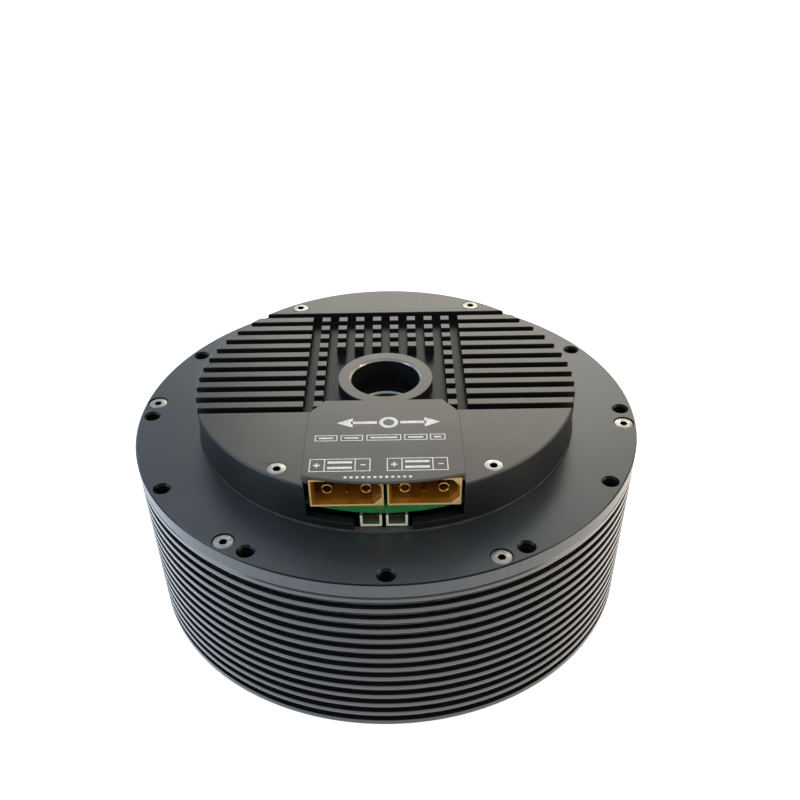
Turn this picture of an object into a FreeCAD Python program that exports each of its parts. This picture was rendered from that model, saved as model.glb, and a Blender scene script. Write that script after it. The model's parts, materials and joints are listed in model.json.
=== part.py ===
import FreeCAD, Part
import math
import os
import re
import Sketcher
from FreeCAD import Placement, Rotation, Vector

# A hollow rotary joint actuator: a finned housing holds a ring motor and two planetary stages that turn
# an output flange on a crossed roller bearing, and a slotted cover on the rear plate holds the driver.
# Lengths are in millimetres. +Z is the output axis, z = 0 is the underside of the housing, where the
# output flange lies, and the connectors face -Y.

os.makedirs("parts", exist_ok=True)
doc = FreeCAD.newDocument("joint_actuator")

driving_sizes = {
    # housing
    "housing_radius": 97,
    "housing_height": 65,
    "edge_break": 0.5,
    "groove_count": 13,
    "groove_width": 2.8,
    "groove_pitch": 4.8,
    "groove_depth": 2.2,
    "first_groove": 2.5,
    "clamp_radius": 91,
    "bearing_radius": 84,
    "ring_gear_radius": 80,
    "shield_level": 50,
    # rear plate
    "plate_thickness": 6,
    "register_radius": 72.6,
    "register_depth": 0.3,
    "mount_radius": 92.3,
    "mount_count": 12,
    "mount_tap_radius": 2.5,
    "mount_mouth_radius": 3.3,
    "plate_screw_radius": 92.4,
    "plate_screw_count": 6,
    "plate_screw_angle": -6,
    "screw_thread_length": 10,
    "screw_head_radius": 3.6,
    "screw_head_depth": 2.2,
    "screw_shank_radius": 1.65,
    "screw_recess_radius": 3.9,
    "screw_recess_depth": 0.35,
    "seal_inner_radius": 86.4,
    "seal_outer_radius": 88.2,
    "seal_depth": 1.4,
    "rotor_seat_radius": 24,
    "rotor_seat_wall": 3.5,
    "rotor_seat_lip": 3.5,
    "upper_seat_level": 58.7,
    "upper_seat_top": 63.5,
    "bush_seat_radius": 16.4,
    "bush_bottom": 65.3,
    "bush_top": 69.3,
    "plate_bore_radius": 13.6,
    # driver cover
    "cover_radius": 72,
    "cover_wall": 3.5,
    "cover_edge": 0.4,
    "gasket_thickness": 0.6,
    "gasket_radius": 72.4,
    "gasket_inner_radius": 69.8,
    "cover_top": 87.3,
    "cover_ceiling": 80.3,
    "slot_count": 11,
    "slot_pitch": 7.13,
    "slot_width": 3.55,
    "slot_depth": 4.5,
    "rear_slot": 49.9,
    "recess_half_width": 30.3,
    "pillar_pitch": 7.1,
    "pillar_width": 3.6,
    "pillar_columns": 8,
    "full_pillar_rows": 4,
    "pillar_rows": 10,
    "boss_radius": 18.1,
    "boss_bore": 13,
    "boss_chamfer": 0.7,
    "boss_tube_radius": 16.5,
    "cover_screw_x": 36.5,
    "cover_screw_y": 57,
    "cover_boss_radius": 4.2,
    "cover_head_radius": 3.3,
    "mouth_centre": -0.3,
    "mouth_half_width": 26.6,
    "mouth_sill": 74.4,
    "notch_centre": -0.9,
    "notch_half_width": 9.8,
    "mouth_depth_y": 49,
    # connector lid
    "lid_top": 90.4,
    "lid_centre": -0.5,
    "lid_half_width": 27,
    "lid_rear": -20.6,
    "lid_corner_width": 5.7,
    "lid_corner_length": 8.2,
    "lid_front": -69.2,
    "lid_front_radius": 92,
    "lid_pocket_top": 89.3,
    # driver board and connectors
    "board_radius": 68.2,
    "board_bottom": 76.5,
    "board_thickness": 1.6,
    "board_hole_radius": 17.2,
    "power_gap": 0.6,
    "power_width": 24.7,
    "power_height": 11.1,
    "power_front": -66.3,
    "power_depth": 16,
    "power_wall": 1.3,
    "power_chamfer": 2.6,
    "power_back_wall": 2,
    "power_pin_radius": 2,
    "power_pin_bore": 1.35,
    "power_pin_bore_depth": 9,
    "power_pin_offset": 6.5,
    "power_pin_front": -64,
    "signal_pin_radius": 0.4,
    "signal_pin_pitch": 6,
    "signal_pin_setback": 2,
    "signal_width": 7.3,
    "signal_offset": 4.35,
    "signal_centre": -0.65,
    "signal_bottom": 71.9,
    "signal_front": -69.6,
    "signal_depth": 8.5,
    "signal_wall": 0.8,
    # output side
    "clamp_height": 4,
    "clamp_inner_radius": 77.5,
    "clamp_screw_radius": 87.5,
    "clamp_screw_count": 12,
    "first_screw_angle": 15,
    "clamp_screw_shank": 1.25,
    "clamp_head_radius": 2.75,
    "clamp_head_depth": 3,
    "bearing_top": 16,
    "roller_pitch_radius": 74.45,
    "roller_radius": 3,
    "roller_length": 5.6,
    "roller_play": 0.05,
    "roller_count": 24,
    "outer_race_bore": 75,
    "inner_race_radius": 73.9,
    "inner_race_bore": 66,
    "flange_bottom": 0.5,
    "flange_lip_radius": 73.4,
    "flange_top": 16.6,
    "seal_play": 0.05,
    "seal_bottom": 0.9,
    "seal_top": 3.7,
    "pilot_radius": 30,
    "pilot_depth": 3,
    "foot_radius": 20,
    "foot_height": 3.5,
    "output_hole_circle": 56,
    "output_hole_count": 12,
    "output_hole_tap": 2.5,
    "output_hole_depth": 11,
    "dowel_radius": 3,
    "dowel_depth": 7,
    "tube_radius": 12.8,
    "tube_bore": 11.2,
    "tube_top": 70,
    "foot_screw_radius": 16.5,
    "foot_screw_count": 6,
    "foot_screw_angle": 30,
    "foot_head_depth": 2,
    # planetary gears
    "gear_module": 2.5,
    "sun_teeth": 16,
    "planet_teeth": 20,
    "ring_teeth": 56,
    "planet_count": 3,
    "pressure_angle": 20,
    "tooth_thinning": 0.12,
    "first_planet_angle": 90,
    "sun_bore": 14.2,
    "spigot_radius": 15.6,
    "ring_gear_bottom": 17,
    "low_planet_top": 31,
    "low_pin_radius": 7,
    "low_bush_radius": 9,
    "low_pin_bottom": 9,
    "low_carrier_bottom": 31.4,
    "low_carrier_top": 34,
    "carrier_radius": 57,
    "low_carrier_bore": 26,
    "high_carrier_bottom": 34.6,
    "high_carrier_top": 38.6,
    "high_planet_bottom": 39,
    "high_planet_top": 48,
    "high_pin_radius": 5,
    "high_bush_radius": 7,
    "high_pin_top": 49.2,
    "washer_bottom": 48.3,
    "washer_radius": 8,
    "pin_play": 0.05,
    # motor
    "shield_thickness": 2.5,
    "shield_lip_radius": 18.5,
    "lower_seat_radius": 22.5,
    "lower_seat_wall": 3.5,
    "lower_seat_bottom": 50.6,
    "lower_seat_top": 55,
    "rotor_bottom": 55.4,
    "rotor_disc_top": 58.2,
    "rotor_top": 64.4,
    "lower_journal": 16.5,
    "upper_journal": 17.5,
    "rotor_iron_inner": 50,
    "rotor_iron_outer": 56.5,
    "magnet_radius": 59.3,
    "magnet_count": 20,
    "magnet_angle": 15,
    "rotor_hole_radius": 6,
    "rotor_hole_circle": 41,
    "rotor_hole_count": 6,
    "stator_bore": 60.1,
    "stator_yoke": 77,
    "stator_bottom": 55.6,
    "stator_top": 64.2,
    "tooth_count": 24,
    "tooth_width": 8,
    "coil_width": 13.4,
    "coil_inner": 63,
    "coil_outer": 76.4,
    "coil_turn": 2.4,
    "coil_recess_inner": 61,
    "coil_recess_outer": 79,
    "coil_recess_top": 67.2,
    "encoder_inner": 29,
    "encoder_outer": 33.5,
    "encoder_magnet_top": 60.8,
    "encoder_board_outer": 39,
    "encoder_board_bottom": 63.4,
}

sheet = doc.addObject("Spreadsheet::Sheet", "sizes")
for row, (alias, number) in enumerate(driving_sizes.items(), 1):
    sheet.set(f"A{row}", alias)
    sheet.set(f"B{row}", str(number))
    sheet.setAlias(f"B{row}", alias)
doc.recompute()

sub_parts = []


def size(expression):
    """The number that an expression in the sheet's aliases stands for."""
    return float(sheet.evalExpression(expression))


def bound(expression):
    """The same expression as another object has to write it, with the sheet's name before each alias."""
    return re.sub(r"\b[a-z_]\w*\b(?!\()", r"sizes.\g<0>", expression)


def new_body(label):
    body = doc.addObject("PartDesign::Body", label)
    body.Label = label
    sub_parts.append(body)
    return body


def origin_feature(body, role):
    return [feature for feature in body.Origin.OriginFeatures if feature.Role == role][0]


def new_sketch(body, name, role, level="0", turn=0):
    """A sketch on an origin plane, lifted by level on the XY plane or turned about +Z on the XZ plane."""
    sketch = body.newObject("Sketcher::SketchObject", name)
    sketch.AttachmentSupport = [(origin_feature(body, role), "")]
    sketch.MapMode = "FlatFace"
    sketch.AttachmentOffset = Placement(Vector(), Rotation(Vector(0, 1, 0), turn))
    if level != "0":
        sketch.setExpression("AttachmentOffset.Base.z", bound(level))
    return sketch


def pin_point(sketch, geometry, point, x, y):
    """Hold a point of the sketch at the expressions x and y."""
    for kind, axis, text in (("DistanceX", -2, x), ("DistanceY", -1, y)):
        length = size(text)
        if abs(length) < 1e-9:
            sketch.addConstraint(Sketcher.Constraint("PointOnObject", geometry, point, axis))
            continue
        index = sketch.addConstraint(Sketcher.Constraint(kind, -1, 1, geometry, point, length))
        name = f"{kind}_{geometry}_{point}"
        sketch.renameConstraint(index, name)
        sketch.setExpression(f"Constraints.{name}", bound(text))


def polygon(sketch, corners):
    """A closed outline of straight lines through corners given as pairs of expressions."""
    points = [Vector(size(x), size(y), 0) for x, y in corners]
    first = sketch.GeometryCount
    count = len(points)
    for index in range(count):
        sketch.addGeometry(Part.LineSegment(points[index], points[(index + 1) % count]), False)
    for index in range(count):
        following = first + (index + 1) % count
        sketch.addConstraint(Sketcher.Constraint("Coincident", first + index, 2, following, 1))
    for index, (x, y) in enumerate(corners):
        pin_point(sketch, first + index, 1, x, y)


def rectangle(sketch, left, bottom, right, top):
    polygon(sketch, [(left, bottom), (right, bottom), (right, top), (left, top)])


def circle(sketch, x, y, radius):
    place = Vector(size(x), size(y), 0)
    index = sketch.addGeometry(Part.Circle(place, Vector(0, 0, 1), size(radius)), False)
    pin_point(sketch, index, 3, x, y)
    constraint = sketch.addConstraint(Sketcher.Constraint("Radius", index, size(radius)))
    sketch.renameConstraint(constraint, f"radius_{index}")
    sketch.setExpression(f"Constraints.radius_{index}", bound(radius))


def finished(body, feature):
    body.Tip = feature
    doc.recompute()
    return feature


def pad(body, name, sketch, length, downwards=False):
    feature = body.newObject("PartDesign::Pad", name)
    feature.Profile = sketch
    feature.Reversed = downwards
    feature.setExpression("Length", bound(length))
    return finished(body, feature)


def pocket(body, name, sketch, depth, upwards=False):
    before = body.Shape.Volume
    feature = body.newObject("PartDesign::Pocket", name)
    feature.Profile = sketch
    feature.Reversed = upwards
    feature.setExpression("Length", bound(depth))
    finished(body, feature)
    if body.Shape.Volume > before - 1e-3:
        raise RuntimeError(f"{body.Label}: {name} cuts nothing")
    return feature


def revolve(body, kind, name, sketch, axis="V_Axis"):
    feature = body.newObject(f"PartDesign::{kind}", name)
    feature.Profile = sketch
    feature.ReferenceAxis = (sketch, [axis])
    feature.Angle = 360
    return finished(body, feature)


def around(body, name, feature, count):
    """Repeat a feature evenly round the main axis."""
    pattern = body.newObject("PartDesign::PolarPattern", name)
    pattern.Originals = [feature]
    pattern.Axis = (origin_feature(body, "Z_Axis"), [""])
    pattern.Angle = 360
    pattern.setExpression("Occurrences", bound(count))
    return finished(body, pattern)


def along(body, name, feature, role, pitch, count, backwards=False):
    """Repeat a feature along one of the body's own axes."""
    pattern = body.newObject("PartDesign::LinearPattern", name)
    pattern.Originals = [feature]
    pattern.Direction = (origin_feature(body, role), [""])
    pattern.Reversed = backwards
    pattern.setExpression("Length", bound(f"({pitch}) * ({count} - 1)"))
    pattern.setExpression("Occurrences", bound(count))
    return finished(body, pattern)


def grid(body, name, feature, columns, column_pitch, rows, row_pitch):
    """Repeat a feature along +X and towards -Y."""
    pattern = body.newObject("PartDesign::LinearPattern", name)
    pattern.Originals = [feature]
    pattern.Direction = (origin_feature(body, "X_Axis"), [""])
    pattern.setExpression("Length", bound(f"({column_pitch}) * ({columns} - 1)"))
    pattern.setExpression("Occurrences", bound(columns))
    pattern.Direction2 = (origin_feature(body, "Y_Axis"), [""])
    pattern.Reversed2 = True
    pattern.setExpression("Length2", bound(f"({row_pitch}) * ({rows} - 1)"))
    pattern.setExpression("Occurrences2", bound(rows))
    return finished(body, pattern)


def turned(label, corners):
    """A lathe part: a closed outline of radius and height, revolved about the main axis."""
    body = new_body(label)
    sketch = new_sketch(body, f"{label}_outline", "XZ_Plane")
    polygon(sketch, corners)
    revolve(body, "Revolution", f"{label}_turned", sketch)
    return body


def drill(body, name, centre, corners, count, turn=0):
    """Cut round holes: an outline of radius and height is revolved about an axis at radius centre,
    starting at the angle turn, and repeated round the main axis."""
    sketch = new_sketch(body, f"{name}_outline", "XZ_Plane", turn=turn)
    middle = size(centre)
    sketch.addGeometry(Part.LineSegment(Vector(middle, 0, 0), Vector(middle, 10, 0)), True)
    pin_point(sketch, 0, 1, centre, "0")
    pin_point(sketch, 0, 2, centre, "10")
    polygon(sketch, [(f"{centre} + {radius}", height) for radius, height in corners])
    hole = revolve(body, "Groove", name, sketch, "Axis0")
    return around(body, f"{name}_circle", hole, count)


def plain_hole(radius, bottom, top):
    return [("0", bottom), (radius, bottom), (radius, top), ("0", top)]


def ring(label, inner, outer, bottom, top):
    return turned(label, [(inner, bottom), (outer, bottom), (outer, top), (inner, top)])


def group(label, solids, placement=Placement()):
    """One object that holds separate solids, or one solid that no feature above can make."""
    feature = doc.addObject("Part::Feature", label)
    feature.Label = label
    feature.Shape = Part.makeCompound(solids) if len(solids) > 1 else solids[0]
    feature.Placement = placement
    sub_parts.append(feature)
    return feature


def spaced(solid, count, start=0):
    """Copies of a solid, evenly spaced about the main axis."""
    copies = []
    for index in range(count):
        copy = solid.copy()
        copy.rotate(Vector(), Vector(0, 0, 1), start + 360 * index / count)
        copies.append(copy)
    return copies


def turned_solid(corners, x=0, y=0):
    """A solid of revolution about a line parallel to Z, from pairs of radius and height."""
    points = [Vector(radius, 0, height) for radius, height in corners]
    face = Part.Face(Part.makePolygon(points + points[:1]))
    solid = face.revolve(Vector(), Vector(0, 0, 1), 360)
    solid.translate(Vector(x, y, 0))
    return solid


def block(low, high):
    """A box between two corners."""
    return Part.makeBox(high[0] - low[0], high[1] - low[1], high[2] - low[2], Vector(*low))


# Housing: a turned shell, its cooling grooves, and the tapped holes that hold the plate and the clamp ring
def make_housing():
    body = turned(
        "finned_housing",
        [
            ("clamp_radius", "0"),
            ("housing_radius - edge_break", "0"),
            ("housing_radius", "edge_break"),
            ("housing_radius", "housing_height - edge_break"),
            ("housing_radius - edge_break", "housing_height"),
            ("seal_outer_radius", "housing_height"),
            ("seal_outer_radius", "housing_height - seal_depth"),
            ("seal_inner_radius", "housing_height - seal_depth"),
            ("seal_inner_radius", "housing_height"),
            ("bearing_radius", "housing_height"),
            ("bearing_radius", "shield_level"),
            ("ring_gear_radius", "shield_level"),
            ("ring_gear_radius", "bearing_top"),
            ("bearing_radius", "bearing_top"),
            ("bearing_radius", "clamp_height"),
            ("clamp_radius", "clamp_height"),
        ],
    )
    sketch = new_sketch(body, "groove_outline", "XZ_Plane")
    rectangle(
        sketch,
        "housing_radius - groove_depth",
        "first_groove",
        "housing_radius + 1",
        "first_groove + groove_width",
    )
    groove = revolve(body, "Groove", "cooling_groove", sketch)
    along(body, "cooling_grooves", groove, "Z_Axis", "groove_pitch", "groove_count")
    shank = plain_hole("screw_shank_radius", "housing_height - screw_thread_length - 2", "housing_height + 1")
    drill(
        body, "plate_screw_hole", "plate_screw_radius", shank, "plate_screw_count", size("plate_screw_angle")
    )
    shank = plain_hole("clamp_screw_shank", "clamp_height - 1", "clamp_height + 8")
    first = size("first_screw_angle")
    drill(body, "clamp_screw_hole", "clamp_screw_radius", shank, "clamp_screw_count", first)


# Rear plate: it carries the mounting holes, the upper rotor bearing and the bush of the hollow shaft
def make_rear_plate():
    bottom = "housing_height"
    top = "housing_height + plate_thickness"
    body = turned(
        "rear_plate",
        [
            ("housing_radius - edge_break", bottom),
            ("housing_radius", f"{bottom} + edge_break"),
            ("housing_radius", f"{top} - edge_break"),
            ("housing_radius - edge_break", top),
            ("register_radius", top),
            ("register_radius", f"{top} - register_depth"),
            ("plate_bore_radius", f"{top} - register_depth"),
            ("plate_bore_radius", "bush_top"),
            ("bush_seat_radius", "bush_top"),
            ("bush_seat_radius", "bush_bottom"),
            ("rotor_seat_radius - rotor_seat_lip", "bush_bottom"),
            ("rotor_seat_radius - rotor_seat_lip", "upper_seat_top"),
            ("rotor_seat_radius", "upper_seat_top"),
            ("rotor_seat_radius", "upper_seat_level"),
            ("rotor_seat_radius + rotor_seat_wall", "upper_seat_level"),
            ("rotor_seat_radius + rotor_seat_wall", bottom),
            ("coil_recess_inner", bottom),
            ("coil_recess_inner", "coil_recess_top"),
            ("coil_recess_outer", "coil_recess_top"),
            ("coil_recess_outer", bottom),
        ],
    )
    mouth = [
        ("0", f"{bottom} - 1"),
        ("mount_tap_radius", f"{bottom} - 1"),
        ("mount_tap_radius", f"{top} - mount_mouth_radius + mount_tap_radius"),
        ("mount_mouth_radius", top),
        ("mount_mouth_radius", f"{top} + 1"),
        ("0", f"{top} + 1"),
    ]
    drill(body, "mounting_hole", "mount_radius", mouth, "mount_count", -90)
    seat = f"{top} - screw_recess_depth"
    sink = [
        ("0", f"{bottom} - 1"),
        ("screw_shank_radius", f"{bottom} - 1"),
        ("screw_shank_radius", f"{seat} - screw_head_depth"),
        ("screw_head_radius", seat),
        ("screw_recess_radius", seat),
        ("screw_recess_radius", f"{top} + 1"),
        ("0", f"{top} + 1"),
    ]
    drill(body, "screw_seat", "plate_screw_radius", sink, "plate_screw_count", size("plate_screw_angle"))
    sketch = new_sketch(body, "cover_hole_outlines", "XY_Plane", top)
    for across in ("cover_screw_x", "-1 * cover_screw_x"):
        for back in ("cover_screw_y", "-1 * cover_screw_y"):
            circle(sketch, across, back, "screw_shank_radius")
    pocket(body, "cover_holes", sketch, f"{top} - coil_recess_top - 0.2")


# Driver cover: a slotted lid whose fins stand as pillars beside the raised ring of the cable bore
def make_driver_cover():
    foot = "housing_height + plate_thickness + gasket_thickness"
    height = f"cover_top - ({foot})"
    floor = "cover_top - slot_depth"
    body = turned(
        "driver_cover",
        [
            ("0", "cover_ceiling"),
            ("cover_radius - cover_wall", "cover_ceiling"),
            ("cover_radius - cover_wall", foot),
            ("cover_radius", foot),
            ("cover_radius", "cover_top - cover_edge"),
            ("cover_radius - cover_edge", "cover_top"),
            ("0", "cover_top"),
        ],
    )

    sketch = new_sketch(body, "boss_outline", "XY_Plane", "cover_ceiling")
    for across in ("cover_screw_x", "-1 * cover_screw_x"):
        for back in ("cover_screw_y", "-1 * cover_screw_y"):
            circle(sketch, across, back, "cover_boss_radius")
    circle(sketch, "0", "0", "boss_tube_radius")
    pad(body, "bosses", sketch, f"cover_ceiling - ({foot})", downwards=True)

    sketch = new_sketch(body, "slot_outline", "XY_Plane", "cover_top")
    rectangle(
        sketch,
        "-1 * cover_radius",
        "rear_slot - slot_width / 2",
        "cover_radius",
        "rear_slot + slot_width / 2",
    )
    slot = pocket(body, "slot", sketch, "slot_depth")
    along(body, "slots", slot, "Y_Axis", "slot_pitch", "slot_count", backwards=True)
    sketch = new_sketch(body, "recess_outline", "XY_Plane", "cover_top")
    rectangle(
        sketch,
        "-1 * recess_half_width",
        "rear_slot - slot_pitch * (slot_count - 1) - slot_width / 2",
        "recess_half_width",
        "rear_slot + slot_width / 2",
    )
    pocket(body, "recess", sketch, "slot_depth")

    # Pillars stand on the recess floor in line with the fins. Only the outermost columns pass the ring.
    outermost = "(pillar_columns - 1) * pillar_pitch / 2"
    for name, middle, columns, pitch, rows in (
        ("outer_pillar", outermost, "2", f"2 * {outermost}", "pillar_rows"),
        (
            "inner_pillar",
            f"({outermost} - pillar_pitch)",
            "pillar_columns - 2",
            "pillar_pitch",
            "full_pillar_rows",
        ),
    ):
        sketch = new_sketch(body, f"{name}_outline", "XY_Plane", floor)
        rectangle(
            sketch,
            f"-1 * {middle} - pillar_width / 2",
            "rear_slot + slot_width / 2 - slot_pitch",
            f"-1 * {middle} + pillar_width / 2",
            "rear_slot - slot_width / 2",
        )
        pillar = pad(body, name, sketch, "slot_depth")
        grid(body, f"{name}s", pillar, columns, pitch, rows, "slot_pitch")

    sketch = new_sketch(body, "ring_outline", "XY_Plane", floor)
    circle(sketch, "0", "0", "boss_radius")
    pad(body, "raised_ring", sketch, "slot_depth")
    sketch = new_sketch(body, "ring_bore_outline", "XY_Plane", "cover_top")
    circle(sketch, "0", "0", "boss_bore")
    pocket(body, "ring_bore", sketch, height)
    sketch = new_sketch(body, "ring_chamfer_outline", "XZ_Plane")
    polygon(
        sketch,
        [
            ("boss_bore - 1", "cover_top - boss_chamfer - 1"),
            ("boss_bore + boss_chamfer + 1", "cover_top + 1"),
            ("boss_bore - 1", "cover_top + 1"),
        ],
    )
    revolve(body, "Groove", "ring_chamfer", sketch)

    # The mouth for the connectors: a wide opening above a sill, and a deeper one for the signal sockets
    sketch = new_sketch(body, "mouth_outline", "XY_Plane", "cover_top")
    rectangle(
        sketch,
        "mouth_centre - mouth_half_width",
        "-1 * cover_radius",
        "mouth_centre + mouth_half_width",
        "-1 * mouth_depth_y",
    )
    pocket(body, "mouth", sketch, "cover_top - mouth_sill")
    sketch = new_sketch(body, "low_mouth_outline", "XY_Plane", "mouth_sill")
    rectangle(
        sketch,
        "notch_centre - notch_half_width",
        "-1 * cover_radius",
        "notch_centre + notch_half_width",
        "-1 * mouth_depth_y",
    )
    pocket(body, "low_mouth", sketch, f"mouth_sill - ({foot})")

    # Countersunk screw seats in the four bosses
    for index, across in enumerate(("cover_screw_x", "-1 * cover_screw_x")):
        for side, back in enumerate(("cover_screw_y", "-1 * cover_screw_y")):
            sketch = new_sketch(body, f"shank_outline_{index}{side}", "XY_Plane", "cover_top")
            circle(sketch, across, back, "screw_shank_radius")
            pocket(body, f"shank_hole_{index}{side}", sketch, height)
            rim = new_sketch(body, f"head_outline_{index}{side}", "XY_Plane", "cover_top")
            circle(rim, across, back, "cover_head_radius")
            seat = new_sketch(
                body, f"seat_outline_{index}{side}", "XY_Plane", "cover_top - screw_head_depth"
            )
            circle(seat, across, back, "screw_shank_radius")
            cone = body.newObject("PartDesign::SubtractiveLoft", f"head_seat_{index}{side}")
            cone.Profile = rim
            cone.Sections = [seat]
            finished(body, cone)


# Connector lid: a raised plate over the connectors, with clipped rear corners and an arc for its front
def make_connector_lid():
    body = new_body("connector_lid")
    left = size("lid_centre - lid_half_width")
    right = size("lid_centre + lid_half_width")
    rear = size("lid_rear")
    shoulder = size("lid_rear - lid_corner_length")
    inset = size("lid_corner_width")
    radius = size("lid_front_radius")
    ends = size("lid_front") + radius - math.sqrt(radius**2 - size("lid_half_width") ** 2)
    corners = [
        Vector(left, ends, 0),
        Vector(left, shoulder, 0),
        Vector(left + inset, rear, 0),
        Vector(right - inset, rear, 0),
        Vector(right, shoulder, 0),
        Vector(right, ends, 0),
    ]
    sketch = new_sketch(body, "lid_outline", "XY_Plane", "cover_top")
    for start, end in zip(corners, corners[1:]):
        sketch.addGeometry(Part.LineSegment(start, end), False)
    middle = Vector(size("lid_centre"), size("lid_front"), 0)
    arc = sketch.addGeometry(Part.Arc(corners[-1], middle, corners[0]), False)
    for index in range(arc - 1):
        sketch.addConstraint(Sketcher.Constraint("Coincident", index, 2, index + 1, 1))
    pin_point(sketch, 0, 2, "lid_centre - lid_half_width", "lid_rear - lid_corner_length")
    pin_point(sketch, 1, 2, "lid_centre - lid_half_width + lid_corner_width", "lid_rear")
    pin_point(sketch, 2, 2, "lid_centre + lid_half_width - lid_corner_width", "lid_rear")
    pin_point(sketch, 3, 2, "lid_centre + lid_half_width", "lid_rear - lid_corner_length")
    sketch.addConstraint(Sketcher.Constraint("Vertical", 0))
    sketch.addConstraint(Sketcher.Constraint("Vertical", 4))
    pin_point(sketch, arc, 3, "lid_centre", "lid_front + lid_front_radius")
    bend = sketch.addConstraint(Sketcher.Constraint("Radius", arc, radius))
    sketch.renameConstraint(bend, "front_radius")
    sketch.setExpression("Constraints.front_radius", bound("lid_front_radius"))
    sketch.addConstraint(Sketcher.Constraint("Coincident", arc - 1, 2, arc, 2))
    sketch.addConstraint(Sketcher.Constraint("Coincident", 0, 1, arc, 1))
    pad(body, "lid_plate", sketch, "lid_top - cover_top")
    sketch = new_sketch(body, "lid_pocket_outline", "XY_Plane", "cover_top")
    rectangle(
        sketch,
        "-1 * (power_gap + power_width) - 0.2",
        "-1 * cover_radius",
        "power_gap + power_width + 0.2",
        "power_front + power_depth + 0.2",
    )
    pocket(body, "lid_pocket", sketch, "lid_pocket_top - cover_top", upwards=True)


# Driver board with its chips and capacitors, on four posts under the cover
def make_driver_board():
    body = new_body("driver_board")
    sketch = new_sketch(body, "board_outline", "XY_Plane", "board_bottom")
    circle(sketch, "0", "0", "board_radius")
    circle(sketch, "0", "0", "board_hole_radius")
    pad(body, "board", sketch, "board_thickness")
    sketch = new_sketch(body, "board_cutouts", "XY_Plane", "board_bottom + board_thickness")
    for across in ("cover_screw_x", "-1 * cover_screw_x"):
        for back in ("cover_screw_y", "-1 * cover_screw_y"):
            circle(sketch, across, back, "cover_boss_radius + 0.5")
    pocket(body, "cutouts", sketch, "board_thickness")

    underside = size("board_bottom")
    upper_side = underside + size("board_thickness")
    chips = [block((-6, 30, upper_side), (6, 42, upper_side + 1.3))]
    for index in range(6):
        transistor = block((-3, 47, underside - 1), (3, 52, underside))
        transistor.rotate(Vector(), Vector(0, 0, 1), -50 + 20 * index)
        chips.append(transistor)
    group("board_chips", chips)

    plate_top = size("housing_height + plate_thickness - register_depth")
    height = underside - plate_top
    posts = []
    capacitors = []
    for across in (-1, 1):
        for back in (-1, 1):
            posts.append(Part.makeCylinder(2.75, height, Vector(45 * across, 45 * back, plate_top)))
            lower = Vector(34 * across, 14 * back, plate_top + 0.4)
            capacitors.append(Part.makeCylinder(4, height - 0.4, lower))
    group("board_posts", posts)
    group("bus_capacitors", capacitors)


# Power connectors: two equal open shells side by side, each with two round contacts and two signal
# contacts. The right end of each socket has clipped corners, so that a plug fits one way round.
def make_power_connector(label, side):
    body = new_body(label)
    bottom = "board_bottom + board_thickness"
    top = f"{bottom} + power_height"
    middle = f"{side} * (power_gap + power_width / 2)"
    sketch = new_sketch(body, "shell_outline", "XZ_Plane", "-1 * power_front")
    rectangle(sketch, f"{middle} - power_width / 2", bottom, f"{middle} + power_width / 2", top)
    pad(body, "shell", sketch, "power_depth", downwards=True)
    left = f"{middle} - power_width / 2 + power_wall"
    right = f"{middle} + power_width / 2 - power_wall"
    low = f"{bottom} + power_wall"
    high = f"{top} - power_wall"
    sketch = new_sketch(body, "socket_outline", "XZ_Plane", "-1 * power_front")
    polygon(
        sketch,
        [
            (left, low),
            (f"{right} - power_chamfer", low),
            (right, f"{low} + power_chamfer"),
            (right, f"{high} - power_chamfer"),
            (f"{right} - power_chamfer", high),
            (left, high),
        ],
    )
    pocket(body, "socket", sketch, "power_depth - power_back_wall")


def make_contacts():
    front = size("power_pin_front")
    back = size("power_front + power_depth - power_back_wall")
    setback = size("signal_pin_setback")
    middle = size("board_bottom + board_thickness + power_height / 2")
    along_y = Vector(0, 1, 0)
    power_contacts = []
    signal_contacts = []
    for side in (-1, 1):
        centre = side * size("power_gap + power_width / 2")
        for across in (-1, 1):
            start = Vector(centre + across * size("power_pin_offset"), front, middle)
            barrel = Part.makeCylinder(size("power_pin_radius"), back - front, start, along_y)
            bore = Part.makeCylinder(size("power_pin_bore"), size("power_pin_bore_depth"), start, along_y)
            power_contacts.append(barrel.cut(bore))
            start = Vector(centre, front + setback, middle + across * size("signal_pin_pitch") / 2)
            length = back - front - setback
            signal_contacts.append(
                Part.makeCylinder(size("signal_pin_radius"), length, start, along_y)
            )
    group("power_contacts", power_contacts)
    group("signal_contacts", signal_contacts)


def make_signal_sockets():
    low = size("signal_bottom")
    high = size("board_bottom")
    front = size("signal_front")
    half = size("signal_width") / 2
    wall = size("signal_wall")
    sockets = []
    for side in (-1, 1):
        middle = size("signal_centre") + side * size("signal_offset")
        shell = block((middle - half, front, low), (middle + half, front + size("signal_depth"), high))
        hollow = block(
            (middle - half + wall, front - 1, low + wall),
            (middle + half - wall, front + size("signal_depth") - 1.5, high + 1),
        )
        sockets.append(shell.cut(hollow))
    group("signal_sockets", sockets)


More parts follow.
